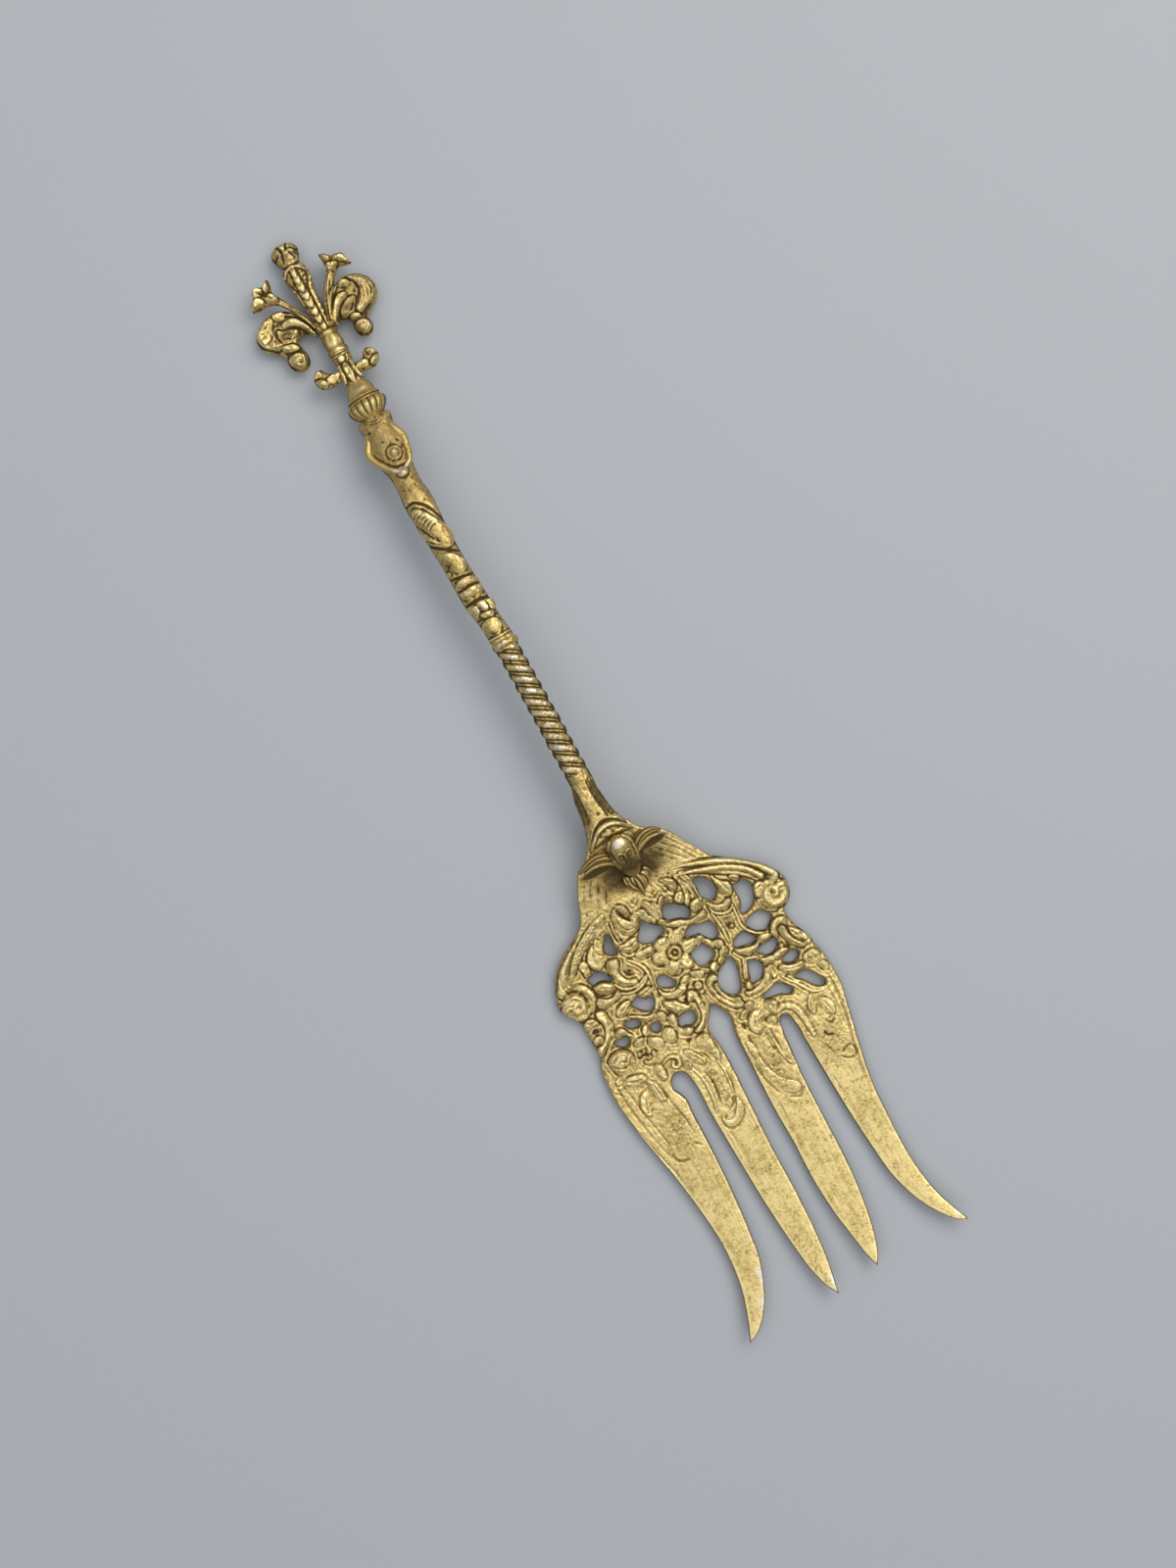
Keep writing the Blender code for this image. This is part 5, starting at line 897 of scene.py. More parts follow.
# veins and inner lines cut into the pads, by half width and depth
veins = {
    (0.14, 0.16): [
        [(-21.2, -33.9), (-21.6, -35.6), (-21.2, -37)], [(-20.9, -35), (-21, -36), (-20.7, -36.8)],
        [(-5.7, -28.8), (-5.3, -30.1), (-4.6, -30.9), (-4, -31.1), (-3.7, -30.7)],
        [(21.4, -33.5), (22.2, -35), (22.1, -36.3)], [(-20.2, -53.8), (-19, -54.4), (-17.6, -54.2), (-16.9, -53.2)],
        [(20.7, -47.2), (21.4, -48.3), (22.3, -48.2)], [(21.4, -49), (22, -49.9), (22.8, -50)]],
    (0.18, 0.2): [[(-23.4, -37.2), (-22.8, -37.9), (-21.8, -38), (-21.2, -37.4)]],
    (0.14, 0.14): [
        [(-23.6, -39.8), (-22.6, -39.4), (-21.6, -39.7), (-20.9, -39.4)],
        [(-23.4, -40.8), (-22.4, -40.4), (-21.4, -40.8)], [(5, -31.9), (5.6, -31.3), (6, -31.6)],
        [(21.4, -39.6), (22.4, -39.2), (23.6, -39.4)], [(21.6, -40.3), (22.6, -39.9), (23.5, -40)],
        [(18.4, -39.8), (19.4, -40.2), (20, -41.4)], [(-19.6, -57), (-18.4, -57.6), (-17, -57.8)],
        [(10, -57), (10.6, -57.4), (10.6, -58.4)], [(21, -52.6), (21.4, -53.6)], [(22, -52.6), (22.2, -53.8)]],
    (0.16, 0.2): [[(-20.6, -37.9), (-19.6, -39), (-19.4, -40.6), (-20.2, -42)]],
    (0.12, 0.1): [
        [(-13.4, -32.6), (-13.8, -34.2), (-13.6, -35.6)], [(-15.8, -39.2), (-14.6, -39.7), (-13.7, -40.3)],
        [(-5.6, -49.6), (-5, -49)], [(-4.4, -50.4), (-4.2, -49.6)]],
    (0.14, 0.12): [
        [(-6.8, -29), (-6.7, -31), (-5.8, -32.3), (-4.6, -32.5)], [(-21, -43.9), (-20.2, -44.4), (-19.7, -44.3)]],
    (0.12, 0.12): [
        [(-8.2, -34.8), (-7, -35.2), (-5.8, -34.8)], [(4.4, -27.6), (5.1, -28.4), (5.4, -29.4)],
        [(-1.6, -37), (-1.2, -38.2)], [(1.8, -37.2), (1.3, -38.5)], [(3.6, -40.1), (2.2, -40.2)],
        [(1.3, -43.2), (0.8, -42.2)], [(-1.8, -43.2), (-1.4, -42.2)], [(18.6, -37.2), (19.6, -37), (20.1, -37.8)],
        [(-14.6, -45.2), (-13.4, -44.6), (-12.4, -44.2)], [(-9.6, -44.2), (-8.6, -44.1), (-7.8, -43.9)],
        [(-6.2, -47.8), (-5, -48.8), (-3.8, -50)], [(16, -52.6), (17.2, -53.3), (18.8, -53.6)],
        [(9.4, -53.6), (11, -53.2), (12.2, -52.4), (12.9, -51.6)], [(13.9, -51.2), (13.9, -52.8)],
        [(14.3, -51.4), (14.2, -52.6)], [(-17.8, -61), (-18.5, -62.6), (-18.9, -64)],
        [(-15.8, -59.8), (-15.5, -61.4), (-15.4, -62.8)], [(-7, -58), (-6.2, -59.2), (-5.5, -60.4)],
        [(6.9, -57.6), (6.6, -59), (6.4, -60.2)], [(17.6, -59.8), (17.3, -61), (17, -62.2)],
        [(19.4, -61.4), (19.8, -62.6), (20, -63.8)]],
    (0.1, 0.12): [[(-0.7, -29.6), (-0.3, -31), (0, -32.8)]],
    (0.16, 0.14): [[(-4, -40.2), (-3.2, -39.6), (-2.4, -40.3)]],
    (0.12, 0.14): [[(12.8, -32), (13.6, -33.4), (14, -34.8)]],
    (0.15, 0.2): [[(-20.3, -52.6), (-19, -52), (-17.9, -52.2), (-17.5, -53), (-18.1, -53.5), (-18.7, -53.1)]],
    (0.1, 0.1): [[(10.2, -48), (9.7, -49.2), (9.2, -50.4)]]}

# bosses: x, y, radius, height, form
bosses = [
    (0.6, -47.6, 0.75, 0.55, "ring"), (8.8, -52.2, 0.78, 0.7, "ball"), (0.6, -49, 0.45, 0.35, "ball"),
    (-13.5, -53.9, 0.45, 0.35, "ball"), (-15.2, -53.6, 0.5, 0.3, "ball"), (17.6, -48.6, 0.5, 0.4, "ball"),
    (3.9, -28.9, 0.4, 0.3, "ball"), (-2.2, -28.2, 0.5, 0.3, "ball"), (1.8, -28.6, 0.5, 0.3, "ball"),
    (11.4, -41, 0.4, 0.15, "ball")]
# pits: x, y, radius, depth, length over width
pits = [
    (11.2, -40.4, 1.0, 0.3, 1.5), (-9.4, -39.1, 1.0, 0.35, 1.3), (-20.3, -46, 0.75, 0.4, 1.1),
    (-2.7, -48.9, 0.45, 0.4, 1.0), (-14.6, -54, 1.6, 0.2, 0.9), (-7.8, -33.3, 0.4, 0.35, 1.3),
    (18.6, -49.4, 0.7, 0.35, 1.4), (-5.8, -55.8, 0.8, 0.35, 0.8), (4.4, -58.4, 0.6, 0.35, 1.3)]

# how much wider and deeper than listed the lines are cut, and their width at both ends
chase = {"chasing": (1.1, 1.7, (0.6, 0.6)), "vein": (1.5, 2.0, (0.7, 0.7))}
# eye, ring of petals and their directions in degrees, radius and height of a petal, radii of a crease's points
flower = {"eye": (-0.4, -40.1), "ring": 2.5, "turns": (33, 94, 157, 217, 278, 328),
          "petal": (1.45, 0.45), "stretch": 1.25, "crease": (1.7, 2.6, 3.4)}
# ribs of the right shoulder: half width, path
shoulder = [(0.7, [(6.4, -27.6), (9.6, -28.4), (12.8, -29.6), (16, -31), (18.6, -32.8), (20.6, -35.4)]),
            (0.65, [(6.2, -26), (9.8, -27), (13.4, -28.4), (17.6, -30.5), (20.8, -33), (22.6, -35.8)])]
punchedRings = [(-9.9, -28.2), (-11.3, -28.8), (-12.9, -29.6), (-14.6, -30.8), (-16, -31.8), (-17.3, -33)]
feathers = [[(4.6, -21.4), (6.6, -23.4), (8.6, -25.4)], [(5.6, -20.8), (7.8, -23.2), (10.2, -26)],
            [(6.8, -20.3), (9, -22.8), (11.6, -26.4)], [(8, -20), (10, -22.6), (12.6, -26.6)],
            [(9, -20), (10.8, -22.6), (13.2, -26.6)], [(-4.6, -21.6), (-5.8, -23.8), (-7, -26)],
            [(-5.8, -21), (-7.2, -23.4), (-8.6, -26.2)], [(-7, -20.5), (-8.6, -23), (-10, -26.2)],
            [(-8.2, -20.2), (-9.8, -23), (-11.2, -26.4)]]
# broken tooling on each tine's root: middle, half width, half height
tooled = [(-16.6, -68.6, 2.2, 5.2), (-5.2, -67, 1.0, 4.4), (6, -66, 1.2, 5.2), (17.4, -68.4, 2.6, 4.4)]
# radius of the rounded edge by y, rise of the tines' middle, slope at the pierced work's rims, spacing of the points
headForm = {"edge": [(-110, 0.3), (-75, 0.38), (-62, 0.5), (-16, 0.5)], "backEdge": 0.34, "crown": 0.16,
            "slope": 0.4, "slopeWidth": 1.3, "outlineStep": 0.26, "holeStep": 0.24,
            "spacing": [(-111, -77, 0.42), (-77, -13, 0.2)]}
# where along y each treatment of the head begins and is full
fade = {"work": (-62, -56), "workTop": (-25.5, -28), "slope": (-60, -55), "slopeTop": (-27, -30), "crown": (-60, -72),
        "smooth": (-64, -74), "tine": (-58, -66), "rubbedAndLit": (-66, -74), "clean": (-50, -60)}


def engrave(relief, lines, wider, deeper, ends):
    # grooves along paths that are listed by half width and depth
    for (half, depth), paths in lines.items():
        for path in paths:
            relief.stroke(path, half * wider, depth * deeper, ends, "groove")


def around(middle, r, angle):
    # point at a distance from the middle, the angle measured from +y towards +x
    return middle[0] + r * math.sin(angle), middle[1] + r * math.cos(angle)


headRelief = field = Relief((-25.5, -111), (25.5, -13))
gx, gy = np.meshgrid(field.x, field.y)
for x0, y0, r, depth, stretch in pits:
    field.boss(x0, y0, r, -depth, stretch=stretch)
    # darker in each pit: painted shade and tarnish
    field.wash("shadeAndStain", (x0, y0, r * 1.1, r * stretch * 1.1, 0.25))
# dished fields beside the mask
field.height -= 0.5 * np.exp(-(((gx - 0.2) / 9.0) ** 2 + ((gy + 22.2) / 5.0) ** 2) ** 3)
engrave(field, chasing, *chase["chasing"])
for half, height, ends, path in bands:
    field.stroke(path, half, height, ends, "band")
for height, soft, edge in pads:
    field.pad(edge, height, soft, lobes=0.07)
engrave(field, veins, *chase["vein"])
rng = np.random.default_rng(12)
for x0, y0, wide, high in tooled:
    for u, v, turn in rng.uniform(-1, 1, (26, 3)):
        c, d = 0.9 * math.cos(1.9 * turn), 0.9 * math.sin(1.9 * turn)
        x1, y1 = x0 + u * wide, y0 + v * high
        path = [(x1, y1), (x1 + 0.5 * d + 0.2, y1 + 0.5 * c), (x1 + d, y1 + c)]
        field.stroke(path, 0.17, 0.13, (0.6, 0.6), "groove")
for angle in np.radians(flower["turns"]):
    middle = around(flower["eye"], flower["ring"], angle)
    field.boss(*middle, *flower["petal"], gutter=0.1, stretch=flower["stretch"], turn=-angle)
    field.stroke([around(flower["eye"], r, angle) for r in flower["crease"]], 0.16, 0.14, form="groove")
field.boss(-0.3, -40.1, 1.5, 0.8, "ring")
field.boss(-21.1, -40.2, 2.9, 1.0, "volute", 0.12)  # ends of the shoulder, left here and right below
for half, path in shoulder:
    field.stroke(path, half, 0.85, (0.12, 0.95), "rib", 0.12)
field.boss(21.1, -39.4, 2.9, 1.05, "volute", 0.12, turn=2.2)
for x0, y0, r, height, form in bosses:
    field.boss(x0, y0, r, height, form)
for middle in punchedRings:
    field.stroke([around(middle, 0.4, angle) for angle in np.linspace(0, 6.3, 9)], 0.13, 0.16, (1, 1), "groove")
for path in feathers:
    field.stroke(path, 0.24, 0.14, (0.5, 0.8), "groove")
field.wash("matted", (0.2, -22.4, 8.2, 4.6, 0.7), (-20, -46, 1.6, 1.8, 0.3), (-16, -69, 3.2, 5.4, 0.75),
           (17.5, -68.5, 3.4, 4.8, 0.75), (6.2, -66, 1.4, 5.6, 0.7), (-5, -66.5, 1.2, 4.8, 0.7),
           (-14.6, -54, 2.2, 1.6, 0.25))
# painted shade under the wings, round the face and over the dished fields beside the mask
field.wash("shadeAndStain", (-5.6, -19.9, 3.6, 0.8, 0.85), (6, -19.9, 3.4, 0.8, 0.85), (0.4, -20.6, 4.2, 2.6, 0.6),
           (0.3, -22.6, 8.6, 4.2, 0.44))
pierced = ease(*fade["work"], gy) * ease(*fade["workTop"], gy)
field.echo(0.8, 0.26, pierced)
# painted shade and tarnish on the low ground between the drawn forms
field.shadeAndStain = np.maximum(field.shadeAndStain, 0.2 * (1 - blurred(field.cover, 2.0)) * pierced)
field.wash("silver", (-15.4, -101.4, 1.0, 3.6, 0.95), (-17.4, -105, 1.3, 1.9, 0.9), (-4.1, -107.6, 0.8, 2.6, 0.9),
           (22, -107.6, 1, 1.4, 0.7))
field.roughen(3, 0.04, 0.035, 1 - 0.75 * ease(*fade["smooth"], gy))
print("head relief chased")


def roundedEdge(gap, r):
    # drop of an edge that is rounded by a quarter circle of radius r
    return r - np.sqrt(np.clip(r * r - (r - np.minimum(gap, r)) ** 2, 0, None))


def headTop(x, y, gap):
    # plate's bend and thickness, the relief, an edge rounded by a quarter circle, and the crown
    crown = headForm["crown"] * ease(*fade["crown"], y) * ease(0.2, 2.6, gap)
    fall = headForm["slope"] * (1 - dome(1 - np.clip(gap / headForm["slopeWidth"], 0, 1)))
    crown = crown - fall * ease(*fade["slope"], y) * ease(*fade["slopeTop"], y)
    relief = headRelief.pick(headRelief.height, x, y) * (0.35 + 0.65 * ease(0, 0.35, gap))
    return plateTop(y) + relief - roundedEdge(gap, along(headForm["edge"], y)) + crown


def headBottom(x, y, gap):
    # back of the plate with a rounded edge
    return along(backLine, y + 110) + roundedEdge(gap, headForm["backEdge"])


def headShades(x, y, gap):
    # the relief's layers, with worn edges and painted shade on the walls and just inside the rims, both stronger on
    # the tines
    shade = headRelief.shades(x, y)
    tine = ease(*fade["tine"], y)
    worn = np.maximum(0.3 * ease(*fade["rubbedAndLit"], y), (0.6 * tine + 0.35) * ease(0.75, 0.4, gap))
    # painted shade on the walls and just inside the rims
    wall = (0.6 + 0.1 * tine) * ease(0.22 + 0.1 * tine, 0.0, gap)
    shade["crest"] = np.maximum(shade["crest"], worn)
    kept = (1 - 0.3 * ease(*fade["clean"], y)) * (1 - 0.25 * tine)
    shade["recess"] = np.maximum(shade["recess"] * kept, wall)
    return shade


headLoops = [cornered(outline, headForm["outlineStep"])]
headLoops += [smoothPath(hole, headForm["holeStep"], closed=True) for hole in openings]
head = castSheet(headLoops, headForm["spacing"], headTop, headBottom, headShades)
makePiece("head_casting", "pierced_head", "gilt_head", head)


# Mask with wings, on the plate below the neck

def turned(ys, halfWidth, halfHeight, around, relief=None, shape=None, axisX=None, axisZ=None, backShare=0.5):
    # rings along y: x = axis + w sin a, z = axis + h cos a, pushed out by shape(a, y) and by a relief drawn in plan
    y = np.asarray(ys, float)[:, None]
    a = np.linspace(0, 2 * np.pi, around, endpoint=False)[None, :]
    w, h = along(halfWidth, y), along(halfHeight, y)
    cx = along(axisSide, y) if axisX is None else axisX(y)
    cz = along(axisHeight, y) if axisZ is None else axisZ(y)
    out = np.zeros((len(ys), around)) + (0 if shape is None else shape(a, y))
    planX, planY = cx + w * np.sin(a), np.broadcast_to(y, out.shape)
    shade = {}
    if relief is not None:
        weight = ease(-0.15, 0.35, np.cos(a)) + backShare * ease(0.0, -0.4, np.cos(a))
        out = out + relief.pick(relief.height, planX, planY) * weight
        for key in ("matted", "silver", "shadeAndStain"):
            shade[key] = relief.pick(getattr(relief, key), planX, planY) * weight
    rings = np.stack([cx + (w + out) * np.sin(a), planY, cz + (h + out) * np.cos(a)], axis=-1)
    level = 0.6 * (out - blurred(out, 2.5, wrap=True)) + 0.4 * (out - blurred(out, 6.5, wrap=True))
    sideShade = 0.62 * ease(0.62, 0.1, np.cos(a)) + 0 * out  # painted shade down the sides and over the back
    shade["recess"] = np.maximum(np.clip(-level / 0.14, 0, 1), np.maximum(sideShade, shade.pop("shadeAndStain", 0)))
    shade["crest"] = np.clip(level / 0.15, 0, 1)
    return rings, shade


def steps(low, high, size=0.14):
    # even places from low to high, about size apart
    return np.linspace(low, high, max(6, math.ceil((high - low) / size)))


def onPlate(knots, lift):
    # knots (x, y, radius) laid on the plate's top, raised by lift of their radius
    return [(x, y, float(plateTop(np.array(y))) + lift * r, r) for x, y, r in knots]


maskRelief = Relief((-4, -25.5), (5, -14.5), 0.06)
maskLines = [
    ([(-0.9, -16), (-1.8, -17), (-2.1, -18.6)], 0.42, 0.32), ([(1.8, -16), (2.7, -17), (3, -18.6)], 0.42, 0.32),
    ([(-1.6, -16.6), (-2.4, -18), (-2.2, -19.8)], 0.42, 0.3), ([(2.5, -16.6), (3.3, -18), (3.1, -19.8)], 0.42, 0.3),
    ([(-1.9, -18.6), (-1.9, -20), (-1.5, -21.6)], 0.36, 0.3), ([(2.8, -18.6), (2.8, -20), (2.4, -21.6)], 0.36, 0.3),
    ([(-1.25, -19.25), (-0.5, -18.95), (0.15, -19.3)], 0.26, 0.16),
    ([(0.75, -19.3), (1.4, -18.95), (2.15, -19.25)], 0.26, 0.16),
    ([(0.45, -19.3), (0.45, -20.3), (0.45, -21.2)], 0.3, 0.4),
    ([(-0.15, -21.98), (0.45, -21.88), (1.05, -21.98)], 0.14, 0.13),
    ([(0, -22.4), (0.45, -22.46), (0.9, -22.4)], 0.18, 0.14)]
for x0 in (-0.42, 1.32):
    maskRelief.boss(x0, -19.8, 0.52, -0.26)
    maskRelief.boss(x0, -19.82, 0.3, 0.02, gutter=0)
for points, half, height in maskLines:
    maskRelief.stroke(points, half, height, (0.6, 0.8), gutter=0.05)
for x0, y0, r, height in ((0.45, -21.15, 0.38, 0.46), (0.1, -21.28, 0.2, 0.28), (0.8, -21.28, 0.2, 0.28),
                          (0.45, -23.1, 0.5, 0.14), (-0.85, -21, 0.7, 0.1), (1.75, -21, 0.7, 0.1)):
    maskRelief.boss(x0, y0, r, height, gutter=0)
maskRelief.stroke([(-0.3, -22.2), (0.45, -22.14), (1.2, -22.2)], 0.1, 0.12, form="groove")
maskRelief.wash("silver", (0.35, -17.2, 1.4, 1.0, 1.0))
# painted shade over the face and beside the hair
maskRelief.wash("shadeAndStain", (0.45, -21.4, 3.0, 2.7, 0.5), (-1.9, -18.4, 0.7, 1.6, 0.5))
maskWide = [(-24.15, 0.05), (-23.8, 0.8), (-22.9, 1.55), (-21.4, 2.1), (-19.8, 2.4), (-18, 2.5), (-16.6, 2.0),
            (-15.8, 1.2), (-15.4, 0.05)]
maskHigh = [(-24.15, 0.05), (-23.8, 0.9), (-22.9, 1.6), (-21.4, 2.1), (-19.8, 2.3), (-18, 2.35), (-16.6, 1.8),
            (-15.8, 1.0), (-15.4, 0.05)]


def feather(a, t):
    # shallow waves round a wing's quill, twisting along it
    return 1 + 0.045 * np.cos(6 * a + 5 * t)


def lock(a, t):
    # deeper waves round a lock of the beard
    return 1 + 0.12 * np.cos(4 * a + 9 * t)


# bars of the mask: lift off the plate, waves, points round the bar, step, added tarnish and painted shade, knots (x,
# y, radius)
wing, under, beard = (0.75, feather, 42, 0.14, 0.3), (0.35, feather, 30, 0.14, 0.0), (0.9, lock, 42, 0.12, 0.15)
maskBars = [
    (wing, [(-1.4, -19.6, 0.6), (-2.8, -18.4, 0.85), (-4.5, -17.8, 0.85), (-6.5, -18, 0.7), (-8.7, -18.7, 0.3)]),
    (wing, [(2.3, -19.6, 0.6), (3.6, -18.6, 0.85), (5, -18, 0.85), (6.8, -18, 0.7), (8.5, -18.7, 0.3)]),
    (under, [(-1.5, -20.4, 0.45), (-3.2, -19.4, 0.5), (-5.4, -18.9, 0.45), (-7.8, -19.2, 0.25)]),
    (under, [(2.3, -20.4, 0.45), (4, -19.5, 0.5), (6, -18.9, 0.45), (7.8, -19.2, 0.25)]),
    (beard, [(-1.2, -23.2, 0.5), (-1.7, -24.3, 0.5), (-1.4, -25.3, 0.25)]),
    (beard, [(2.1, -23.2, 0.5), (2.6, -24.3, 0.5), (2.2, -25.3, 0.25)]),
    (beard, [(-0.4, -23.6, 0.6), (-0.9, -25, 0.65), (-0.7, -26.2, 0.5), (-0.2, -27.1, 0.25)]),
    (beard, [(1.4, -23.6, 0.6), (1.8, -24.8, 0.65), (1.5, -26, 0.5), (0.9, -26.9, 0.25)]),
    (beard, [(0.45, -23.4, 0.7), (0.6, -24.8, 0.8), (0.3, -26.4, 0.7), (0, -28, 0.25)])]
mask = [gridShell(*turned(steps(-24.15, -15.4, 0.09), maskWide, maskHigh, 120, maskRelief,
                          axisX=lambda y: 0.45 + 0 * y, axisZ=lambda y: plateTop(y) + 1.3, backShare=0))]
for (lift, waves, points, step, tarnishAndShade), knots in maskBars:
    mask.append(bar(onPlate(knots, lift), step, points, waves))
    mask[-1]["recess"] = mask[-1]["recess"] + tarnishAndShade
makePiece("mask_casting", "winged_mask", "gilt_worn", *mask)


# Handle: neck, twisted stem, collar, tail and figure

handleRelief = Relief((-8, -18), (8, 112))
# path, half width, height, form
handleLines = [
    # hood and facets of the neck
    ([(-4.4, -14.9), (-2.2, -13.6), (0, -13.1), (2.2, -13.6), (4.2, -14.9)], 0.5, 0.4, "rib"),
    ([(1.5, -4.4), (1.5, -8), (2.2, -11.4)], 0.32, 0.2, "rib"),
    ([(-1.9, -4.4), (-2, -8), (-2.7, -11.4)], 0.26, 0.2, "groove"),
    ([(0.8, -4.4), (0.8, -8), (1.3, -11.8)], 0.26, 0.2, "groove"),
    ([(-3.8, -13.8), (-2, -12.7), (0, -12.2), (2, -12.7), (3.6, -13.8)], 0.3, 0.4, "groove"),
    # tail
    ([(-4.2, 55), (-2.4, 55.2), (-0.6, 54), (0.8, 51.6), (1.6, 48.6)], 0.34, 0.4, "groove"),
    ([(-4, 47.6), (-2.6, 46), (-0.6, 44.6), (1.8, 43.2)], 0.36, 0.4, "groove"),
    ([(-3.8, 51), (-3, 48.6), (-1.6, 46.6)], 0.45, 0.3, "rib"),
    ([(-3.6, 39.6), (-1.6, 39.2), (0.4, 38.9), (1.8, 38.9)], 0.28, 0.35, "groove"),
    ([(-3.4, 33.9), (-0.6, 34), (2, 33.8)], 0.3, 0.4, "groove"),
    ([(-2, 35.9), (-0.8, 34.9), (0.6, 36)], 0.2, 0.25, "groove"),
    ([(0.2, 41.6), (0.6, 40.8), (0.2, 40.2), (-0.3, 40.6)], 0.2, 0.25, "groove"),
    ([(-2.8, 30.6), (-1, 30.4), (1.8, 30.2)], 0.22, 0.25, "groove"),
    ([(-1.6, 29), (-0.4, 27.2), (0.8, 28.8)], 0.22, 0.22, "groove"),
    ([(-2.8, 26.5), (-0.3, 26.3), (2.1, 26.5)], 0.3, 0.3, "rib"),
    # breast, belt and folds of the figure
    ([(-2.8, 72.6), (-1.4, 71.7), (-0.4, 71.6), (0.8, 72.4)], 0.18, 0.1, "rib"),
    ([(-0.6, 72.9), (-0.6, 71.7)], 0.16, 0.12, "groove"),
    ([(-4.4, 66.6), (-3.2, 64), (-1.6, 62.5), (0.4, 62.3), (2.2, 62.8)], 0.3, 0.32, "groove"),
    # husks of the finial's stalk
    ([(-0.65, 80.8), (-0.65, 82.6), (-0.65, 84.2)], 0.75, 0.5, "leaf"),
    ([(-2.2, 81), (-1.9, 82.8), (-1.8, 84.6)], 0.35, 0.4, "rib"),
    ([(0.9, 81), (0.6, 82.8), (0.5, 84.6)], 0.35, 0.4, "rib"),
    ([(-2.2, 86.4), (-0.6, 86.2), (1, 86.4)], 0.25, 0.25, "rib"),
    # plume: column of husks between two sheath leaves, closed by a bud
    ([(-1.5, 92.6), (-2, 96), (-2.5, 100), (-3.1, 103), (-2.8, 105)], 0.55, 0.45, "scales"),
    ([(0.3, 92.6), (0.6, 96), (0.9, 100), (1.9, 103), (1.9, 104.8)], 0.55, 0.45, "scales"),
    ([(-0.65, 92.4), (-0.8, 96), (-0.8, 100), (-0.7, 104.6)], 0.85, 0.65, "band"),
    ([(-2.6, 105.8), (-0.6, 105.3), (1.8, 105.8)], 0.35, 0.35, "groove"),
    ([(-3, 103.4), (-1.9, 104.6), (-0.7, 105.2), (0.5, 104.6), (1.9, 103.4)], 0.3, 0.35, "rib")]
handleLines += [([(-1.6, y + 0.75), (-0.75, y - 0.35), (0.1, y + 0.75)], 0.2, 0.28, "groove")
                for y in (93.6, 95.2, 96.8, 98.4, 100, 101.6, 103)]  # husks down the plume
handleLines += [  # creases of the bud
    ([(-1.5, 110), (-1, 108.5), (-1.6, 106.4)], 0.3, 0.4, "groove"),
    ([(0.7, 110), (0.2, 108.6), (1, 106.5)], 0.3, 0.35, "groove"),
    ([(-3.2, 107.4), (-1.9, 107.9), (-1, 108.5)], 0.26, 0.3, "groove"),
    ([(0.2, 108.6), (1.4, 108.2), (2.4, 107.2)], 0.26, 0.3, "groove"),
    ([(-1, 108.5), (-0.4, 108.2), (0.2, 108.6)], 0.22, 0.25, "groove")]
# x, y, radius, height, form
handleBosses = [(-0.6, 65, 1.45, 0.35, "ball"), (-0.6, 65, 0.85, 0.6, "ball"),
                (-0.7, 85.5, 0.75, 0.5, "ball"), (-2.9, 40.6, 0.6, 0.3, "ball"), (-1, 61.2, 1.1, 0.5, "ball")]
# pads here and below: height, width of the rounded edge, outline
tailPads = [
    (0.55, 0.9, [(-3.4, 53.4), (-2.6, 53.9), (-1.4, 53), (0, 50.6), (1, 48.4), (1.1, 46.2), (0.2, 45), (-0.8, 45.6),
        (-1.6, 47.2), (-2.4, 49.4), (-3.2, 51.6)]),
    (0.5, 0.8, [(-2.8, 44.6), (-1.6, 44.3), (-0.2, 43.3), (0.6, 42), (0.5, 40.2), (-0.5, 39.7), (-1.4, 40.4),
        (-1.8, 42), (-2.8, 43.2)]),
    (0.5, 0.6, [(-2.8, 37.4), (-2, 38.3), (-0.6, 38.6), (0.9, 38.1), (1.5, 37.2), (0.8, 36.8), (-0.6, 37.3),
        (-2, 37)]),
    (0.5, 0.7, [(-2.6, 36.3), (-1.2, 36.5), (0.2, 36.6), (1.4, 36.2), (1, 35), (-0.2, 34.5), (-1.6, 34.8),
        (-2.4, 35.3)]),
    (0.5, 0.6, [(-2.8, 33.3), (-1.7, 33.4), (-1.1, 32.7), (-1.3, 31.6), (-2.2, 31.2), (-2.8, 32)]),
    (0.5, 0.5, [(-0.8, 33.4), (0.2, 33.4), (0.6, 32.4), (0, 31.5), (-0.7, 32)]),
    (0.5, 0.5, [(0.9, 33.3), (1.6, 33), (1.8, 31.8), (1.2, 31.2), (0.9, 32.2)]),
    (0.45, 0.5, [(-1.2, 31.2), (0, 31.2), (1, 30.8), (0.6, 30.2), (-0.6, 30.4)]),
    (0.35, 0.8, [(-1.9, 29.4), (-0.6, 29.9), (1, 29.3), (1, 27.7), (0.2, 26.9), (-0.9, 26.9), (-1.8, 27.7)])]
for points, half, height, form in handleLines:
    scaled = form == "scales"
    handleRelief.stroke(points, half, height, (0.6, 0.6), "band" if scaled else form, 0.12, 9 if scaled else 0)
for height, soft, edge in tailPads:
    handleRelief.pad(edge, 0.8 * height, soft, 0.07, 0.25)
for k in range(6):
    x0, y0 = -2.9 + 0.32 * k, 53 - 0.66 * k  # ticks across the scaled lens
    path = [(x0 - 0.5, y0 - 0.55), (x0, y0 - 0.1), (x0 + 0.9, y0 + 0.2)]
    handleRelief.stroke(path, 0.17, 0.2, (0.7, 0.7), "groove")
for x0, y0, r, height, form in handleBosses:
    handleRelief.boss(x0, y0, r, height, form, gutter=0.12)
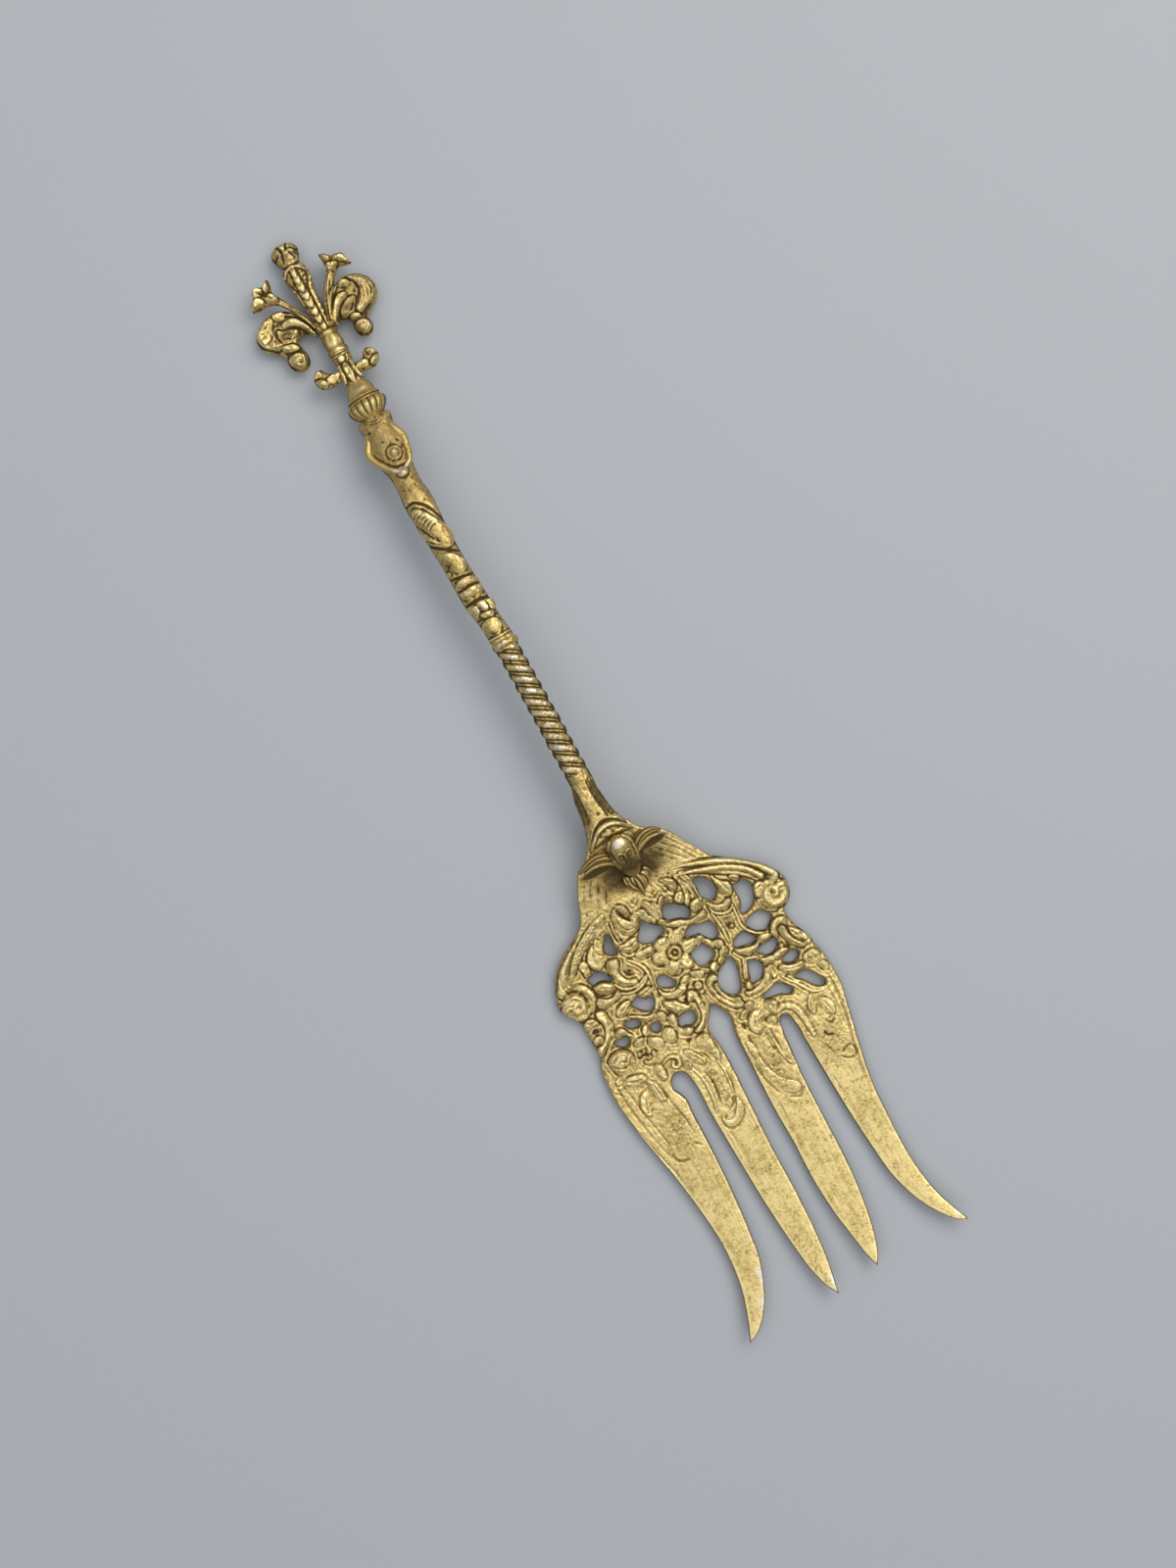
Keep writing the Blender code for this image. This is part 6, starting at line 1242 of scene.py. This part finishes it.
handleRelief.wash(
    "silver", (-0.8, 32.4, 2.2, 0.9, 0.75), (-1.6, 44.3, 1.2, 0.5, 0.4), (-0.9, 61.2, 1.1, 0.8, 0.85),
    (-0.7, 98, 0.7, 5.0, 0.3), (0, 15, 1.4, 5, 0.35), (0, 2, 1.4, 3, 0.35), (-0.4, 24.9, 1.6, 0.5, 0.75))
# painted shade beside the arms and down the plume's sides; darker tone over the bud, torso, hips, tail and stem
handleRelief.wash(
    "shadeAndStain", (-0.6, 107.6, 3, 1.9, 0.26), (-1, 66, 5, 8, 0.34), (-1, 42, 4, 12, 0.2), (0, 10, 3, 13, 0.22),
    (-0.7, 58, 4, 2.4, 0.3), (-3.6, 66, 0.9, 3, 0.35), (2.2, 66, 0.9, 3, 0.35), (-2.2, 41.4, 1.4, 1.8, 0.35),
    (-2.6, 100, 0.8, 4, 0.3), (1.4, 100, 0.8, 4, 0.3))
handleRelief.roughen(5, 0.055, 0.04)
handleRelief.roughen(21, 0.14, 0.06, bell(handleRelief.y[:, None], 108, 1.9))  # crumpled bud
neckWide = [(-15, 4.6), (-14, 4.4), (-12.6, 3.7), (-11, 3.05), (-8, 2.65), (-5.5, 2.35), (-4, 2.2)]
neckHigh = [(-15, 3.0), (-14, 3.0), (-12.6, 2.7), (-11, 2.45), (-8, 2.3), (-4, 2.2)]
rings, shade = turned(steps(-15, -4), neckWide, neckHigh, 112, handleRelief, axisX=lambda y: -0.45 * ease(-4, -7, y))
neckX, neckY = rings[..., 0], rings[..., 1]
facetShade = ease(1.1, 1.6, np.abs(neckX + 0.4)) * ease(-12.6, -11, neckY) * ease(-4.2, -4.8, neckY)
shade["recess"] = np.maximum(shade["recess"], 0.5 * facetShade)  # painted shade: darker facets beside the neck's middle panel
neckY -= 0.06 * neckX ** 2 * ease(-10.5, -13.5, neckY)  # the hood's edge is drawn down at the sides
makePiece("neck_casting", "neck_socket", "gilt_handle", gridShell(rings, shade))

rope = {"radius": 2.3, "lead": 7.05, "from": 0.7, "depth": 0.55}  # lead is the length of one whole turn


def ropeShape(a, y):
    # three thick strands, each followed by a thin thread, winding left-handed: height by the phase across one start
    phase = (3 * (a + 2 * np.pi * (y - rope["from"]) / rope["lead"]) + np.pi) % (2 * np.pi) - np.pi
    thread = (phase + 2 * np.pi) % (2 * np.pi) - np.pi
    strand = np.maximum(dome(phase / 2.15), 0.5 * dome(thread / 0.85))
    return rope["depth"] * (strand - 1) * ease(-2.9, -1.5, y) * ease(24, 23.4, y)


stemWide = [(-4, rope["radius"] - 0.1), (0, rope["radius"]), (24, rope["radius"] - 0.05)]
rings, shade = turned(steps(-4, 24, 0.11), stemWide, stemWide, 120, handleRelief, ropeShape)
top = np.cos(np.linspace(0, 2 * np.pi, 120, endpoint=False))[None, :]  # 1 where a ring of 120 points faces up
# worn silver on the rope's crests, kept to its upward side: partly wear, partly painted highlight
shade["silver"] = np.maximum(shade["silver"], np.minimum(1, 1.3 * shade["crest"] * ease(0.6, 0.95, top)))
# painted shade down the rope's sides
shade["recess"] = np.maximum(shade["recess"], 0.62 * ease(0.8, 0.35, top))
makePiece("stem_casting", "twisted_stem", "gilt_worn", gridShell(rings, shade))


def collarShape(a, y):
    # dents: four and nine waves round the collar
    return 0.05 * np.cos(4 * a + 3) + 0.04 * np.cos(9 * a)


collarWide = [(24, 2.2), (24.25, 2.45), (24.7, 2.6), (25.2, 2.5), (25.5, 2.2), (25.7, 2.2), (26, 2.35)]
makePiece("collar_casting", "stem_collar", "gilt_handle",
          gridShell(*turned(steps(24, 26, 0.08), collarWide, collarWide, 120, handleRelief, collarShape)))

tailWide = [(26, 2.3), (30, 2.15), (34, 2.4), (38, 2.3), (42, 2.2), (46, 2.3), (50, 2.45), (54.5, 2.75)]
tailHigh = [(26, 2.2), (30, 2.0), (38, 2.05), (46, 2.2), (54.5, 2.45)]
makePiece("tail_casting", "scaled_tail", "gilt_handle",
          gridShell(*turned(steps(26, 54.5), tailWide, tailHigh, 112, handleRelief)))


def onAxis(knots):
    # knots (x, y, height above the handle's middle line, radius)
    return [(x, y, float(along(axisHeight, np.array(y))) + z, r) for x, y, z, r in knots]


torsoWide = [(54.5, 2.75), (56, 2.7), (58, 2.45), (60, 2.35), (62, 2.6), (64, 3.2), (65.5, 3.6), (67, 3.8),
             (68.5, 3.3), (70, 2.9), (71.5, 3.2), (72.4, 3.3), (73, 2.9)]
torsoHigh = [(54.5, 2.45), (57, 2.3), (60, 2.3), (62.6, 2.1), (65, 2.2), (68, 2.5), (70, 2.6), (71.8, 2.4), (73, 1.9)]
torso = [gridShell(*turned(steps(54.5, 73), torsoWide, torsoHigh, 112, handleRelief))]
arms = [[(-3.1, 70.8, 0.5, 0.7), (-3.9, 69, 0.7, 0.75), (-4.9, 67.2, 0.8, 0.75), (-4.5, 65.4, 1.1, 0.7),
         (-3.6, 63.8, 1.5, 0.65), (-2.6, 62.4, 1.9, 0.6), (-1.6, 61.6, 2.1, 0.55), (-0.9, 61.3, 2.2, 0.4)],
        [(1, 70.8, 0.5, 0.7), (1.6, 69.2, 0.7, 0.75), (2.3, 67.2, 0.8, 0.75), (2, 65.4, 1.1, 0.7),
         (1.7, 63.8, 1.5, 0.6), (1.2, 62.6, 1.8, 0.55), (0.4, 62, 2, 0.5), (-0.3, 61.6, 2.1, 0.4)]]
for knots in arms:
    points = 36  # round the arm
    arm = bar(onAxis(knots), 0.14, points)
    rows = (len(arm["co"]) - 2) // points
    arm["silver"][:-2] = np.repeat(0.7 * ease(0.78, 0.9, np.linspace(0, 1, rows)), points)  # worn hands
    torso.append(arm)
makePiece("torso_casting", "figure_torso", "gilt_worn", *torso)


def fluteShape(a, y):
    # sixteen sharp flutes from the power of a cosine, fading at the foot
    return 0.34 * (np.abs(np.cos(8 * a)) ** 0.6 - 1) * ease(72.9, 74.2, y)


shellWide = [(73, 2.0), (73.6, 2.7), (74.6, 3.5), (75.4, 3.8), (76, 3.7), (76.5, 3.1)]
shellHigh = [(73, 1.8), (73.6, 2.4), (74.6, 3.1), (75.4, 3.4), (76, 3.3), (76.5, 2.9)]
makePiece("shell_casting", "shell_cup", "gilt_handle",
          gridShell(*turned(steps(73, 76.5, 0.1), shellWide, shellHigh, 160, None, fluteShape)))


def domeShape(a, y):
    # gaussian groove below the brim, and five faint dents that twist along it
    return -0.22 * bell(y, 76.9, 0.16) + 0.04 * np.cos(5 * a + y) * ease(77, 78, y)


domeWide = [(76.5, 3.1), (77.1, 3.25), (77.5, 3.0), (77.9, 2.75), (78.8, 2.6), (79.6, 2.25), (80.1, 1.95),
            (80.3, 1.75), (80.5, 1.75)]
rings, shade = turned(steps(76.5, 80.5, 0.1), domeWide, domeWide, 120, None, domeShape)
# painted highlight: paler gold over the dome's top
shade["crest"] = np.maximum(shade["crest"], 0.7 * ease(0.5, 0.95, top) * ease(77.4, 78, rings[..., 1]))
makePiece("dome_casting", "dome_cap", "gilt_handle", gridShell(rings, shade))

stalkWide = [(80.5, 1.6), (81.4, 1.85), (83, 1.75), (84.4, 1.6), (85.6, 1.75), (86.6, 1.8), (87, 1.85)]
makePiece("stalk_casting", "finial_stalk", "gilt_handle",
          gridShell(*turned(steps(80.5, 87, 0.1), stalkWide, stalkWide, 96, handleRelief)))


def bandShape(a, y):
    # dents: three and seven waves round the band, twisting along it
    return 0.05 * np.cos(3 * a + 2 * y) + 0.04 * np.cos(7 * a - y)


bandWide = [(87, 1.8), (87.3, 1.95), (87.9, 1.9), (88.2, 1.6), (88.5, 1.75), (89.2, 1.85), (90, 1.8), (90.7, 1.65),
            (90.9, 1.5), (91.1, 1.7), (91.5, 1.7), (91.8, 1.45)]
rings, shade = turned(steps(87, 91.8, 0.09), bandWide, bandWide, 120, None, bandShape)
# painted highlight: paler gold over the band's top
shade["crest"] = np.maximum(shade["crest"], 0.6 * ease(0.5, 0.95, top))
makePiece("band_casting", "binding_band", "gilt_handle", gridShell(rings, shade))

plumeWide = [(91.8, 1.05), (94, 1.15), (97, 1.35), (100, 1.7), (103, 2.3), (104.4, 2.2), (105.8, 1.75),
             (107, 2.35), (108.2, 2.65), (109.3, 2.15), (109.9, 1.2), (110.1, 0.1)]
plumeHigh = [(91.8, 1.05), (97, 1.2), (103, 1.7), (105.8, 1.35), (108.2, 1.9), (109.3, 1.6), (109.9, 0.9),
             (110.1, 0.1)]
makePiece("plume_casting", "plume", "gilt_worn",
          gridShell(*turned(steps(91.8, 110.1, 0.11), plumeWide, plumeHigh, 104, handleRelief)))

# Finial leaves: lens-thick castings with chased ribs

finialRelief = Relief((-15, 80), (13, 107), 0.08)
finialPads = [
    # left acanthus
    (0.6, 1.2, [(-12.6, 96.8), (-11.8, 98.2), (-10.4, 99.1), (-9, 99.2), (-8.4, 98.4), (-9, 97.4), (-9.6, 96),
        (-9.4, 94.6), (-9, 93.4), (-9.8, 92.8), (-11.2, 93.6), (-12.4, 95)]),
    (0.4, 0.7, [(-8.1, 99.2), (-7, 99.2), (-5.8, 98.6), (-6.4, 97.7), (-7.6, 97.6), (-8.1, 98.2)]),
    (0.25, 0.9, [(-8.6, 96.2), (-7.8, 95.6), (-6.4, 95.1), (-5.2, 94.4), (-5.4, 93.8), (-6.6, 93.6), (-7.6, 93),
        (-8.6, 93.6), (-9, 95)]),
    (0.8, 0.6, [(-7.4, 96.6), (-6.2, 97), (-4.8, 96.6), (-3.6, 95.2), (-2.6, 93.2), (-2.4, 92), (-3.1, 92.2),
        (-4, 93.8), (-5.2, 95.2), (-6.6, 95.8), (-7.4, 96)]),
    (0.5, 0.6, [(-9.4, 93), (-8.2, 92.8), (-7, 92.4), (-6.4, 91.6), (-7.2, 91), (-8.4, 91.4), (-9.2, 92)]),
    (0.7, 1.0, [(-9.4, 90.4), (-8.4, 90.8), (-7, 90.6), (-6.1, 89.9), (-6.2, 88.8), (-7, 87.9), (-8.2, 87.8),
        (-9.2, 88.8)]),
    # right acanthus
    (0.6, 1.0, [(6.4, 91.6), (8, 92.2), (9.8, 93), (10.8, 94.6), (11, 96), (10.2, 97.6), (8.8, 98.6), (7.4, 98.8),
        (8.2, 97.6), (8.6, 96.2), (8, 94.8), (7, 93.6), (6.2, 92.6)]),
    (0.4, 0.7, [(5, 98.7), (6.4, 98.9), (7.4, 98), (7, 97.2), (6, 97.4), (5.2, 97.9)]),
    (0.25, 0.9, [(3.4, 93.6), (4.6, 94.6), (6, 95.2), (7, 95), (6.6, 93.8), (5.6, 92.6), (4.4, 92.2), (3.2, 92.6)]),
    (0.8, 0.6, [(1.4, 92.4), (2.2, 94.2), (3.4, 95.8), (4.8, 96.6), (5.9, 96.4), (5.8, 95.6), (4.6, 95), (3.4, 94),
        (2.4, 92.6), (1.8, 91.9)]),
    (0.5, 0.6, [(4.4, 91.8), (5.4, 92.1), (6.3, 91.6), (6.2, 90.9), (5.2, 90.8), (4.6, 91.2)]),
    (0.7, 0.9, [(4.5, 90.1), (5.4, 90.5), (6.8, 90.1), (7.2, 89.2), (6.8, 88.2), (5.8, 87.8), (4.8, 88.4),
        (4.4, 89.2)]),
    # bells
    (0.55, 0.7, [(-10.7, 101.3), (-9.6, 101.2), (-8.2, 101.5), (-8.4, 102.6), (-9.4, 103), (-10.4, 102.4)]),
    (0.5, 0.6, [(-9.4, 103.4), (-9, 104.5), (-8, 104.7), (-7.4, 103.8), (-8.2, 103)]),
    (0.5, 0.5, [(-7, 104.3), (-6.2, 105), (-5.8, 104.5), (-6.2, 103.4), (-7, 103)]),
    (0.45, 0.6, [(-7.7, 101.9), (-6.4, 102.6), (-5.6, 101.2), (-6.2, 100.4), (-7.4, 101)]),
    (0.55, 0.7, [(8.4, 101.2), (9.3, 100.8), (9, 102.2), (8.4, 102.8), (7.2, 102.9), (7.4, 102)]),
    (0.5, 0.6, [(5.1, 104.3), (5.8, 104), (6.4, 103.2), (5.8, 102.6), (5.1, 103.2)]),
    (0.45, 0.6, [(5.1, 102.3), (6.3, 102.2), (7.2, 101.6), (6.6, 101), (5.6, 100.7), (5, 101.3)]),
    # volutes
    (0.5, 0.6, [(-6.9, 85.6), (-6.2, 86), (-5.4, 85.6), (-5.4, 84.8), (-6.2, 84.5), (-6.9, 84.8)]),
    (0.5, 0.7, [(-6.9, 84.1), (-6.2, 84.1), (-5.4, 83.6), (-5, 82.6), (-5.8, 82), (-6.7, 82.8)]),
    (0.5, 0.7, [(-4.9, 83.6), (-4, 83.8), (-3, 84.2), (-2.3, 83.5), (-3, 82.5), (-4.4, 82.2)]),
    (0.5, 0.6, [(3.9, 84.9), (4.7, 85), (5.3, 84.4), (5.4, 83.7), (4.8, 83.6), (4.1, 84.2)]),
    (0.5, 0.7, [(5.4, 83.2), (4.8, 83.2), (4, 82.8), (3.6, 82), (4.4, 81.7), (5.2, 82.2)]),
    (0.5, 0.7, [(3.3, 83.2), (2.6, 83.6), (1.6, 83.6), (0.9, 83), (1.8, 82.2), (3, 82)])]
# ribs and grooves, by half width, height and form
finialLines = {
    (0.32, 0.45, "rib"): [
        [(-6.2, 98.4), (-4.6, 97.4), (-3.2, 95.6), (-2.2, 93)], [(4.9, 98.3), (3.4, 97), (2.2, 95), (1.3, 93)]],
    (0.22, 0.3, "rib"): [
        [(-2.2, 93), (-3.4, 96), (-4.8, 98.8), (-6.2, 100.6)], [(1.2, 93), (2.3, 96), (3.6, 98.6), (4.8, 100.4)]],
    (0.18, 0.25, "groove"): [
        [(-12.2, 95.8), (-11, 96.2), (-9.9, 97.2)], [(-11.6, 94.6), (-10.6, 95), (-9.8, 95.8)],
        [(-11.2, 97.8), (-10.4, 97.6), (-9.6, 98.2)], [(-10.4, 93.6), (-10, 94.2), (-9.7, 94.8)],
        [(7.2, 92.6), (8.4, 93.8), (9, 95.4)], [(8.4, 92.9), (9.5, 94.2), (9.9, 96)],
        [(6.8, 93.2), (7.8, 94.4), (8.5, 95.8)], [(9.7, 93.4), (10.4, 94.8), (10.4, 96.2)]],
    (0.2, 0.25, "groove"): [
        [(-8.2, 95), (-7.2, 94.8), (-6.4, 94.2)], [(-8.4, 94.2), (-7.6, 94), (-7, 93.6)],
        [(4.2, 93.6), (5.2, 94), (6, 94.6)], [(4.6, 92.8), (5.6, 93.2), (6.2, 93.9)]],
    (0.2, 0.35, "groove"): [
        [(-8.8, 89.8), (-7.6, 90.1), (-6.8, 89.5), (-7.2, 88.7), (-8, 88.9)],
        [(5, 89.5), (6, 89.7), (6.6, 89.1), (6.1, 88.5)]],
    (0.22, 0.35, "groove"): [[(-6.6, 101.6), (-7.6, 102.8), (-8.6, 103.8)], [(5.6, 101.4), (6.4, 102.4), (7, 103)]]}
for height, soft, edge in finialPads:
    finialRelief.pad(edge, height, soft, 0.2, 0.15)
for (half, height, form), paths in finialLines.items():
    for path in paths:
        finialRelief.stroke(path, half, height, (0.6, 0.5), form, 0.14)
# darker patches over the leaves and round their curls, read as hollows
finialRelief.wash(
    "shadeAndStain", (-7.4, 94.6, 1.6, 1.2, 0.45), (5.2, 93.6, 1.7, 1.2, 0.45), (-7.6, 91, 1.6, 0.6, 0.4),
    (5.4, 90.8, 1.4, 0.5, 0.4), (-4, 98, 0.8, 2.6, 0.35), (2.8, 97.6, 0.8, 2.6, 0.35), (7, 96, 4.4, 4, 0.3),
    (-8, 96, 4, 4, 0.18))
finialRelief.roughen(8, 0.085, 0.05)
# outlines, with the corners marked
leaves = {
    "acanthus_left": [(-2.2, 91.9, 1), (-2.4, 93.4), (-3.1, 95.6), (-4.2, 97.6), (-5.5, 98.9), (-7, 99.6),
        (-9, 99.6), (-11, 98.9), (-12.5, 97.6), (-13, 96), (-12.7, 94.5), (-11.7, 93.2), (-10.5, 92.5), (-9.7, 91.5),
        (-9.8, 90), (-9.6, 88.6), (-8.4, 87.5), (-7, 87.5), (-6, 88.5), (-5.8, 89.9), (-6.1, 91.4), (-6.2, 92.5),
        (-5.6, 93.3), (-4.7, 93.5), (-3.9, 93.1), (-3.4, 92.4), (-3, 91.9, 1)],
    "acanthus_right": [(0.9, 91.9, 1), (1.4, 94.3), (2.5, 96.5), (4, 98.2), (5.6, 99.2), (7.6, 99.3), (9.4, 98.7),
        (10.8, 97.4), (11.4, 95.8), (11.2, 94), (10.2, 92.6), (8.8, 91.8), (7.7, 91.1), (7.5, 90.2), (7.5, 89),
        (7, 88), (5.8, 87.4), (4.6, 88), (4.1, 89.2), (4.2, 90.4), (4.3, 91.3), (3.6, 92.1), (2.7, 92.4),
        (2.1, 91.9, 1)],
    "bell_left": [(-2.1, 92, 1), (-3, 94.4), (-4, 96.6), (-5.2, 98.9), (-6.5, 100.3), (-8.2, 100.9), (-9.6, 100.8),
        (-10.9, 101.1, 1), (-10.6, 102.5), (-9.7, 103.4), (-9.3, 104.6), (-8.2, 105), (-7.2, 104.6), (-6.4, 105.2),
        (-5.6, 105.3, 1), (-5.7, 104), (-6, 102.9), (-5.3, 101.4), (-4.3, 99.6), (-3, 97.2), (-2.1, 94.8),
        (-1.2, 92, 1)],
    "bell_right": [(0.2, 92, 1), (0.8, 94.2), (1.6, 96.6), (2.6, 98.7), (3.9, 100.3), (4.8, 101.6), (4.9, 103.2),
        (4.8, 104.8, 1), (5.9, 104.4), (6.7, 103.6), (7.7, 103.4), (8.8, 103), (9.2, 101.8), (9.6, 100.4, 1),
        (8.3, 100.6), (7.2, 100.9), (6.1, 100.2), (4.7, 98.4), (3.3, 96), (2.2, 94), (1.4, 92, 1)],
    "volute_left": [(-1.8, 82.2, 1), (-3.4, 81.8), (-5, 81.7), (-6.5, 82.3), (-7.2, 83.8), (-6.9, 85.3), (-5.9, 86),
        (-4.8, 85.6), (-4.4, 84.8), (-3.6, 84.2), (-2.6, 84.1), (-1.8, 84.1, 1)],
    "volute_right": [(0.6, 82, 1), (2.2, 81.6), (3.8, 81.4), (5.2, 82), (5.7, 83.4), (5.3, 84.7), (4.3, 85.4),
        (3.3, 85), (2.9, 84.2), (2.2, 83.9), (1.4, 83.9), (0.6, 83.9, 1)]}
# height of the middle plane above the axis, half thickness, and the width over which the edge rounds
leafBody = {"acanthus": (-0.75, 1.35, 1.3), "bell": (1.0, 1.0, 1.0), "volute": (0.2, 0.7, 0.9)}
for node, edge in leaves.items():
    lift, thick, soft = leafBody[node.split("_")[0]]

    def leafSide(x, y, gap, body, relief, lift=lift, thick=thick, soft=soft):
        # middle plane, pushed out by shares of a body rounded at its edge and of the relief
        bulge = thick * dome(1 - np.clip(gap / soft, 0, 1))
        chased = finialRelief.pick(finialRelief.height, x, y) * ease(0, 0.4, gap)
        return along(axisHeight, y) + lift + body * bulge + relief * chased

    sheet = castSheet([cornered(edge, 0.16)], 0.15, lambda x, y, gap: leafSide(x, y, gap, 1, 1),
                      lambda x, y, gap: leafSide(x, y, gap, -0.95, -0.4), lambda x, y, gap: finialRelief.shades(x, y),
                      rings=(0.03, 0.1, 0.2), backSpacing=0.22)
    makePiece(node.replace("_", "_casting_"), node, "gilt_handle", sheet)


# Stage, light and camera

def plainMaterial(name, colour, roughness):
    # one colour of one roughness
    material = bpy.data.materials.new(name)
    material.use_nodes = True
    shader = material.node_tree.nodes["Principled BSDF"]
    shader.inputs["Base Color"].default_value = (*colour, 1)
    shader.inputs["Roughness"].default_value = roughness
    return material


stage = {"floor": (0.50, 0.51, 0.52), "roughness": 0.9,
         "flat": 5.0, "cove": 3.0, "around": 96, "rows": 13, "drop": 0.0002}
turn = np.linspace(0, 2 * np.pi, stage["around"], endpoint=False)
bend = np.linspace(0, np.pi / 2, stage["rows"])[:, None]  # flat disc that curves up all round by a quarter circle
reach = stage["flat"] + stage["cove"] * np.sin(bend)
rise = stage["cove"] * (1 - np.cos(bend)) - stage["drop"]
coveAt = np.stack([reach * np.cos(turn), reach * np.sin(turn), rise + 0 * turn], axis=-1)
here = np.arange(stage["rows"] - 1)[:, None] * stage["around"] + np.arange(stage["around"])
after = np.roll(here, -1, axis=1)
walls = np.stack([here, here + stage["around"], after + stage["around"], after], axis=-1).reshape(-1, 4)
floorMesh = bpy.data.meshes.new("floor")
floorMesh.from_pydata(coveAt.reshape(-1, 3).tolist(), [], [list(range(stage["around"]))] + walls.tolist())
floorMesh.polygons.foreach_set("use_smooth", [False] + [True] * len(walls))
floorMesh.materials.append(plainMaterial("floor_grey", stage["floor"], stage["roughness"]))
floor = bpy.data.objects.new("floor", floorMesh)
link(floor)

light = {"sky": (0.80, 0.84, 0.90), "skyStrength": 0.93, "side": (1.0, 0.97, 0.92), "sidePower": 1.5,
         "sideSize": (0.5, 0.4), "sideAt": (0.34, 0.16, 0.52)}
world = bpy.data.worlds.new("studio")
world.use_nodes = True
bpy.context.scene.world = world
sky = Wire(world.node_tree)
world.node_tree.nodes.clear()
way = sky.node("ShaderNodeTexCoord", out="Generated")
split = way.node("ShaderNodeSeparateXYZ", None, {0: way})
east = Wire(world.node_tree, split.socket.node.outputs[0])
up = Wire(world.node_tree, split.socket.node.outputs[2])
level = up.between(0.25, 0.92, 0.08, 1.22) - up.between(0.95, 1.0) * 0.1  # dark horizon, bright zenith
level = level - east.between(0.1, 0.8) * (1 - up.between(0.3, 0.85)) * 0.1
level = level + (0 - up).between(0.0, 0.5, 0.0, 0.45)  # some light from below, for views without the floor
back = sky.node("ShaderNodeBackground", None, {"Color": (*light["sky"], 1), "Strength": level * light["skyStrength"]})
sky.node("ShaderNodeOutputWorld", None, {"Surface": back})

lamp = bpy.data.lights.new("window", "AREA")
lamp.shape = "RECTANGLE"
lamp.size, lamp.size_y = light["sideSize"]
lamp.energy = light["sidePower"]
lamp.color = light["side"]
window = bpy.data.objects.new("window", lamp)
window.location = light["sideAt"]
window.rotation_euler = (Vector((0, 0, 0)) - window.location).to_track_quat("-Z", "Y").to_euler()
link(window)

view = {"x": 0.87, "y": -5.0, "height": 403, "turn": -29.1, "lens": 49.6, "sensor": 36}
camera = bpy.data.cameras.new("camera")
camera.lens = view["lens"]
camera.sensor_width = view["sensor"]
viewer = bpy.data.objects.new("camera", camera)
viewer.location = (view["x"] * mm, view["y"] * mm, view["height"] * mm)
viewer.rotation_euler = (0, 0, math.radians(view["turn"]))
link(viewer)
bpy.context.scene.camera = viewer
bpy.context.scene.view_settings.view_transform = "Standard"
print("stage, light and camera set")
